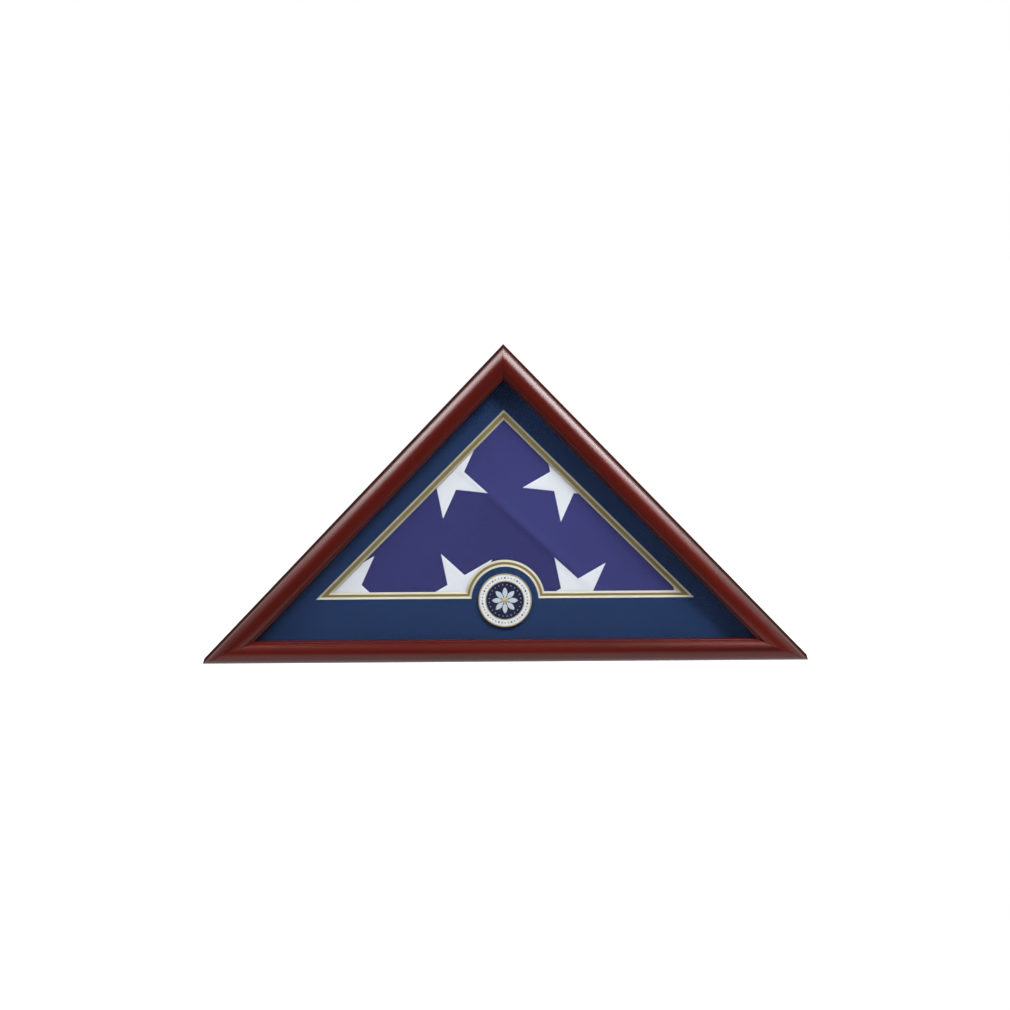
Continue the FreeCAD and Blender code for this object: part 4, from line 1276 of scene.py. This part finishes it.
class FLAGCASE_OT_stage(bpy.types.Operator):
    """Lays the white floor and sets the lamps and the camera"""

    bl_idname = "flag_case.stage"
    bl_label = "Floor, Lamps and Camera"

    def execute(self, context):
        s = context.scene.flag_case_stage
        context.scene.view_settings.view_transform = "Standard"
        self.floor(context.scene)
        self.world(context.scene, s)
        for name in LAMPS:
            self.lamp(context.scene, s, name)
        self.camera(context.scene, s)
        return {"FINISHED"}

    def floor(self, scene):
        """A floor that is white to the camera, matte to the lamps, and bright behind to reflections."""
        bm = bmesh.new()
        bmesh.ops.create_grid(bm, x_segments=1, y_segments=1, size=FLOOR_REACH)
        mesh = bpy.data.meshes.new("studio_floor")
        bm.to_mesh(mesh)
        bm.free()
        material, tree = new_material("white_floor")
        tree.nodes.remove(tree.nodes["Principled BSDF"])
        path = put(tree, "LightPath").outputs
        place = put(tree, "SeparateXYZ", {0: put(tree, "TexCoord").outputs["Object"]}).outputs
        behind = ranged(tree, place["Y"], *FLOOR_GLOW)
        seen = worked(tree, "MAXIMUM", path["Is Camera Ray"], path["Is Transmission Ray"])
        bright = worked(tree, "MULTIPLY", path["Is Glossy Ray"], behind)
        level = ranged(tree, worked(tree, "MAXIMUM", seen, bright), (0, 2 * FLOOR_WHITE), (0, 2))
        glow = put(tree, "Emission", {"Strength": level}).outputs[0]
        grey = ranged(tree, path["Is Glossy Ray"], FLOOR_GREY)
        matte = put(tree, "BsdfDiffuse", {"Color": grey}).outputs[0]
        both = put(tree, "AddShader", {0: glow, 1: matte}).outputs[0]
        feed(tree, tree.nodes["Material Output"], {"Surface": both})
        mesh.materials.append(material)
        floor = bpy.data.objects.new("studio_floor", mesh)
        scene.collection.objects.link(floor)

    def world(self, scene, s):
        """White to the camera and behind the case to reflections, and an even light elsewhere."""
        world = bpy.data.worlds.new("white_studio")
        scene.world = world
        world.use_nodes = True
        tree = world.node_tree
        path = put(tree, "LightPath").outputs
        heading = put(tree, "SeparateXYZ", {0: put(tree, "TexCoord").outputs["Generated"]}).outputs
        behind = ranged(tree, heading["Y"], *SKY_GLOW)
        seen = worked(tree, "MAXIMUM", path["Is Camera Ray"], path["Is Transmission Ray"])
        bright = worked(tree, "MULTIPLY", path["Is Glossy Ray"], behind)
        even_light = ranged(tree, path["Is Glossy Ray"], (s.ambient, 0))
        level = worked(tree, "MAXIMUM", seen, worked(tree, "MAXIMUM", bright, even_light))
        feed(tree, tree.nodes["Background"], {"Color": (1, 1, 1, 1), "Strength": level})

    def lamp(self, scene, s, name):
        power, share, place, width, height, unseen = LAMPS[name]
        light = bpy.data.lights.new(name, "AREA")
        light.shape = "RECTANGLE"
        light.energy, light.size, light.size_y = getattr(s, power) * share, width, height
        lamp = bpy.data.objects.new(name, light)
        lamp.location = place
        aim = Vector((0, 0, RISE / 2)) - Vector(place)
        lamp.rotation_euler = aim.to_track_quat("-Z", "Y").to_euler()
        setattr(lamp, unseen, False)
        scene.collection.objects.link(lamp)

    def camera(self, scene, s):
        lens = bpy.data.cameras.new("photo_camera")
        lens.lens, lens.sensor_width = s.lens, s.sensor
        camera = bpy.data.objects.new("photo_camera", lens)
        tilt, roll = math.radians(s.elevation), math.radians(s.roll)
        away = Vector((0, -math.cos(tilt), math.sin(tilt)))
        up = Vector((0, math.sin(tilt), math.cos(tilt)))
        across = ALONG_X * math.cos(roll) + up * math.sin(roll)
        upward = up * math.cos(roll) - ALONG_X * math.sin(roll)
        turn = Matrix((across, upward, away)).transposed().to_4x4()
        camera.matrix_world = Matrix.Translation(Vector(s.aim) + away * s.distance) @ turn
        scene.collection.objects.link(camera)
        scene.camera = camera


PIECES = (
    FLAGCASE_OT_mouldings,
    FLAGCASE_OT_boards,
    FLAGCASE_OT_glazing,
    FLAGCASE_OT_mats,
    FLAGCASE_OT_medallion,
    FLAGCASE_OT_flag,
    FLAGCASE_OT_back,
    FLAGCASE_OT_turn_buttons,
    FLAGCASE_OT_hanger,
    FLAGCASE_OT_stage,
)


class FLAGCASE_PT_panel(bpy.types.Panel):
    """Lists the pieces of the case and their sizes"""

    bl_idname = "FLAGCASE_PT_panel"
    bl_label = "Flag Case"
    bl_space_type = "VIEW_3D"
    bl_region_type = "UI"
    bl_category = "Flag Case"

    def draw(self, context):
        for piece in PIECES:
            self.layout.operator(piece.bl_idname)
        for name, group in GROUPS.items():
            box = self.layout.box()
            for key in group.__annotations__:
                box.prop(getattr(context.scene, name), key)


CLASSES = (*GROUPS.values(), *PIECES, FLAGCASE_PT_panel)


def register():
    for item in CLASSES:
        bpy.utils.register_class(item)
    for name, group in GROUPS.items():
        setattr(bpy.types.Scene, name, PointerProperty(type=group))


def unregister():
    for name in GROUPS:
        delattr(bpy.types.Scene, name)
    for item in reversed(CLASSES):
        bpy.utils.unregister_class(item)


def main():
    register()
    for piece in PIECES:
        section, name = piece.bl_idname.split(".")
        getattr(getattr(bpy.ops, section), name)()


if __name__ == "__main__":
    main()
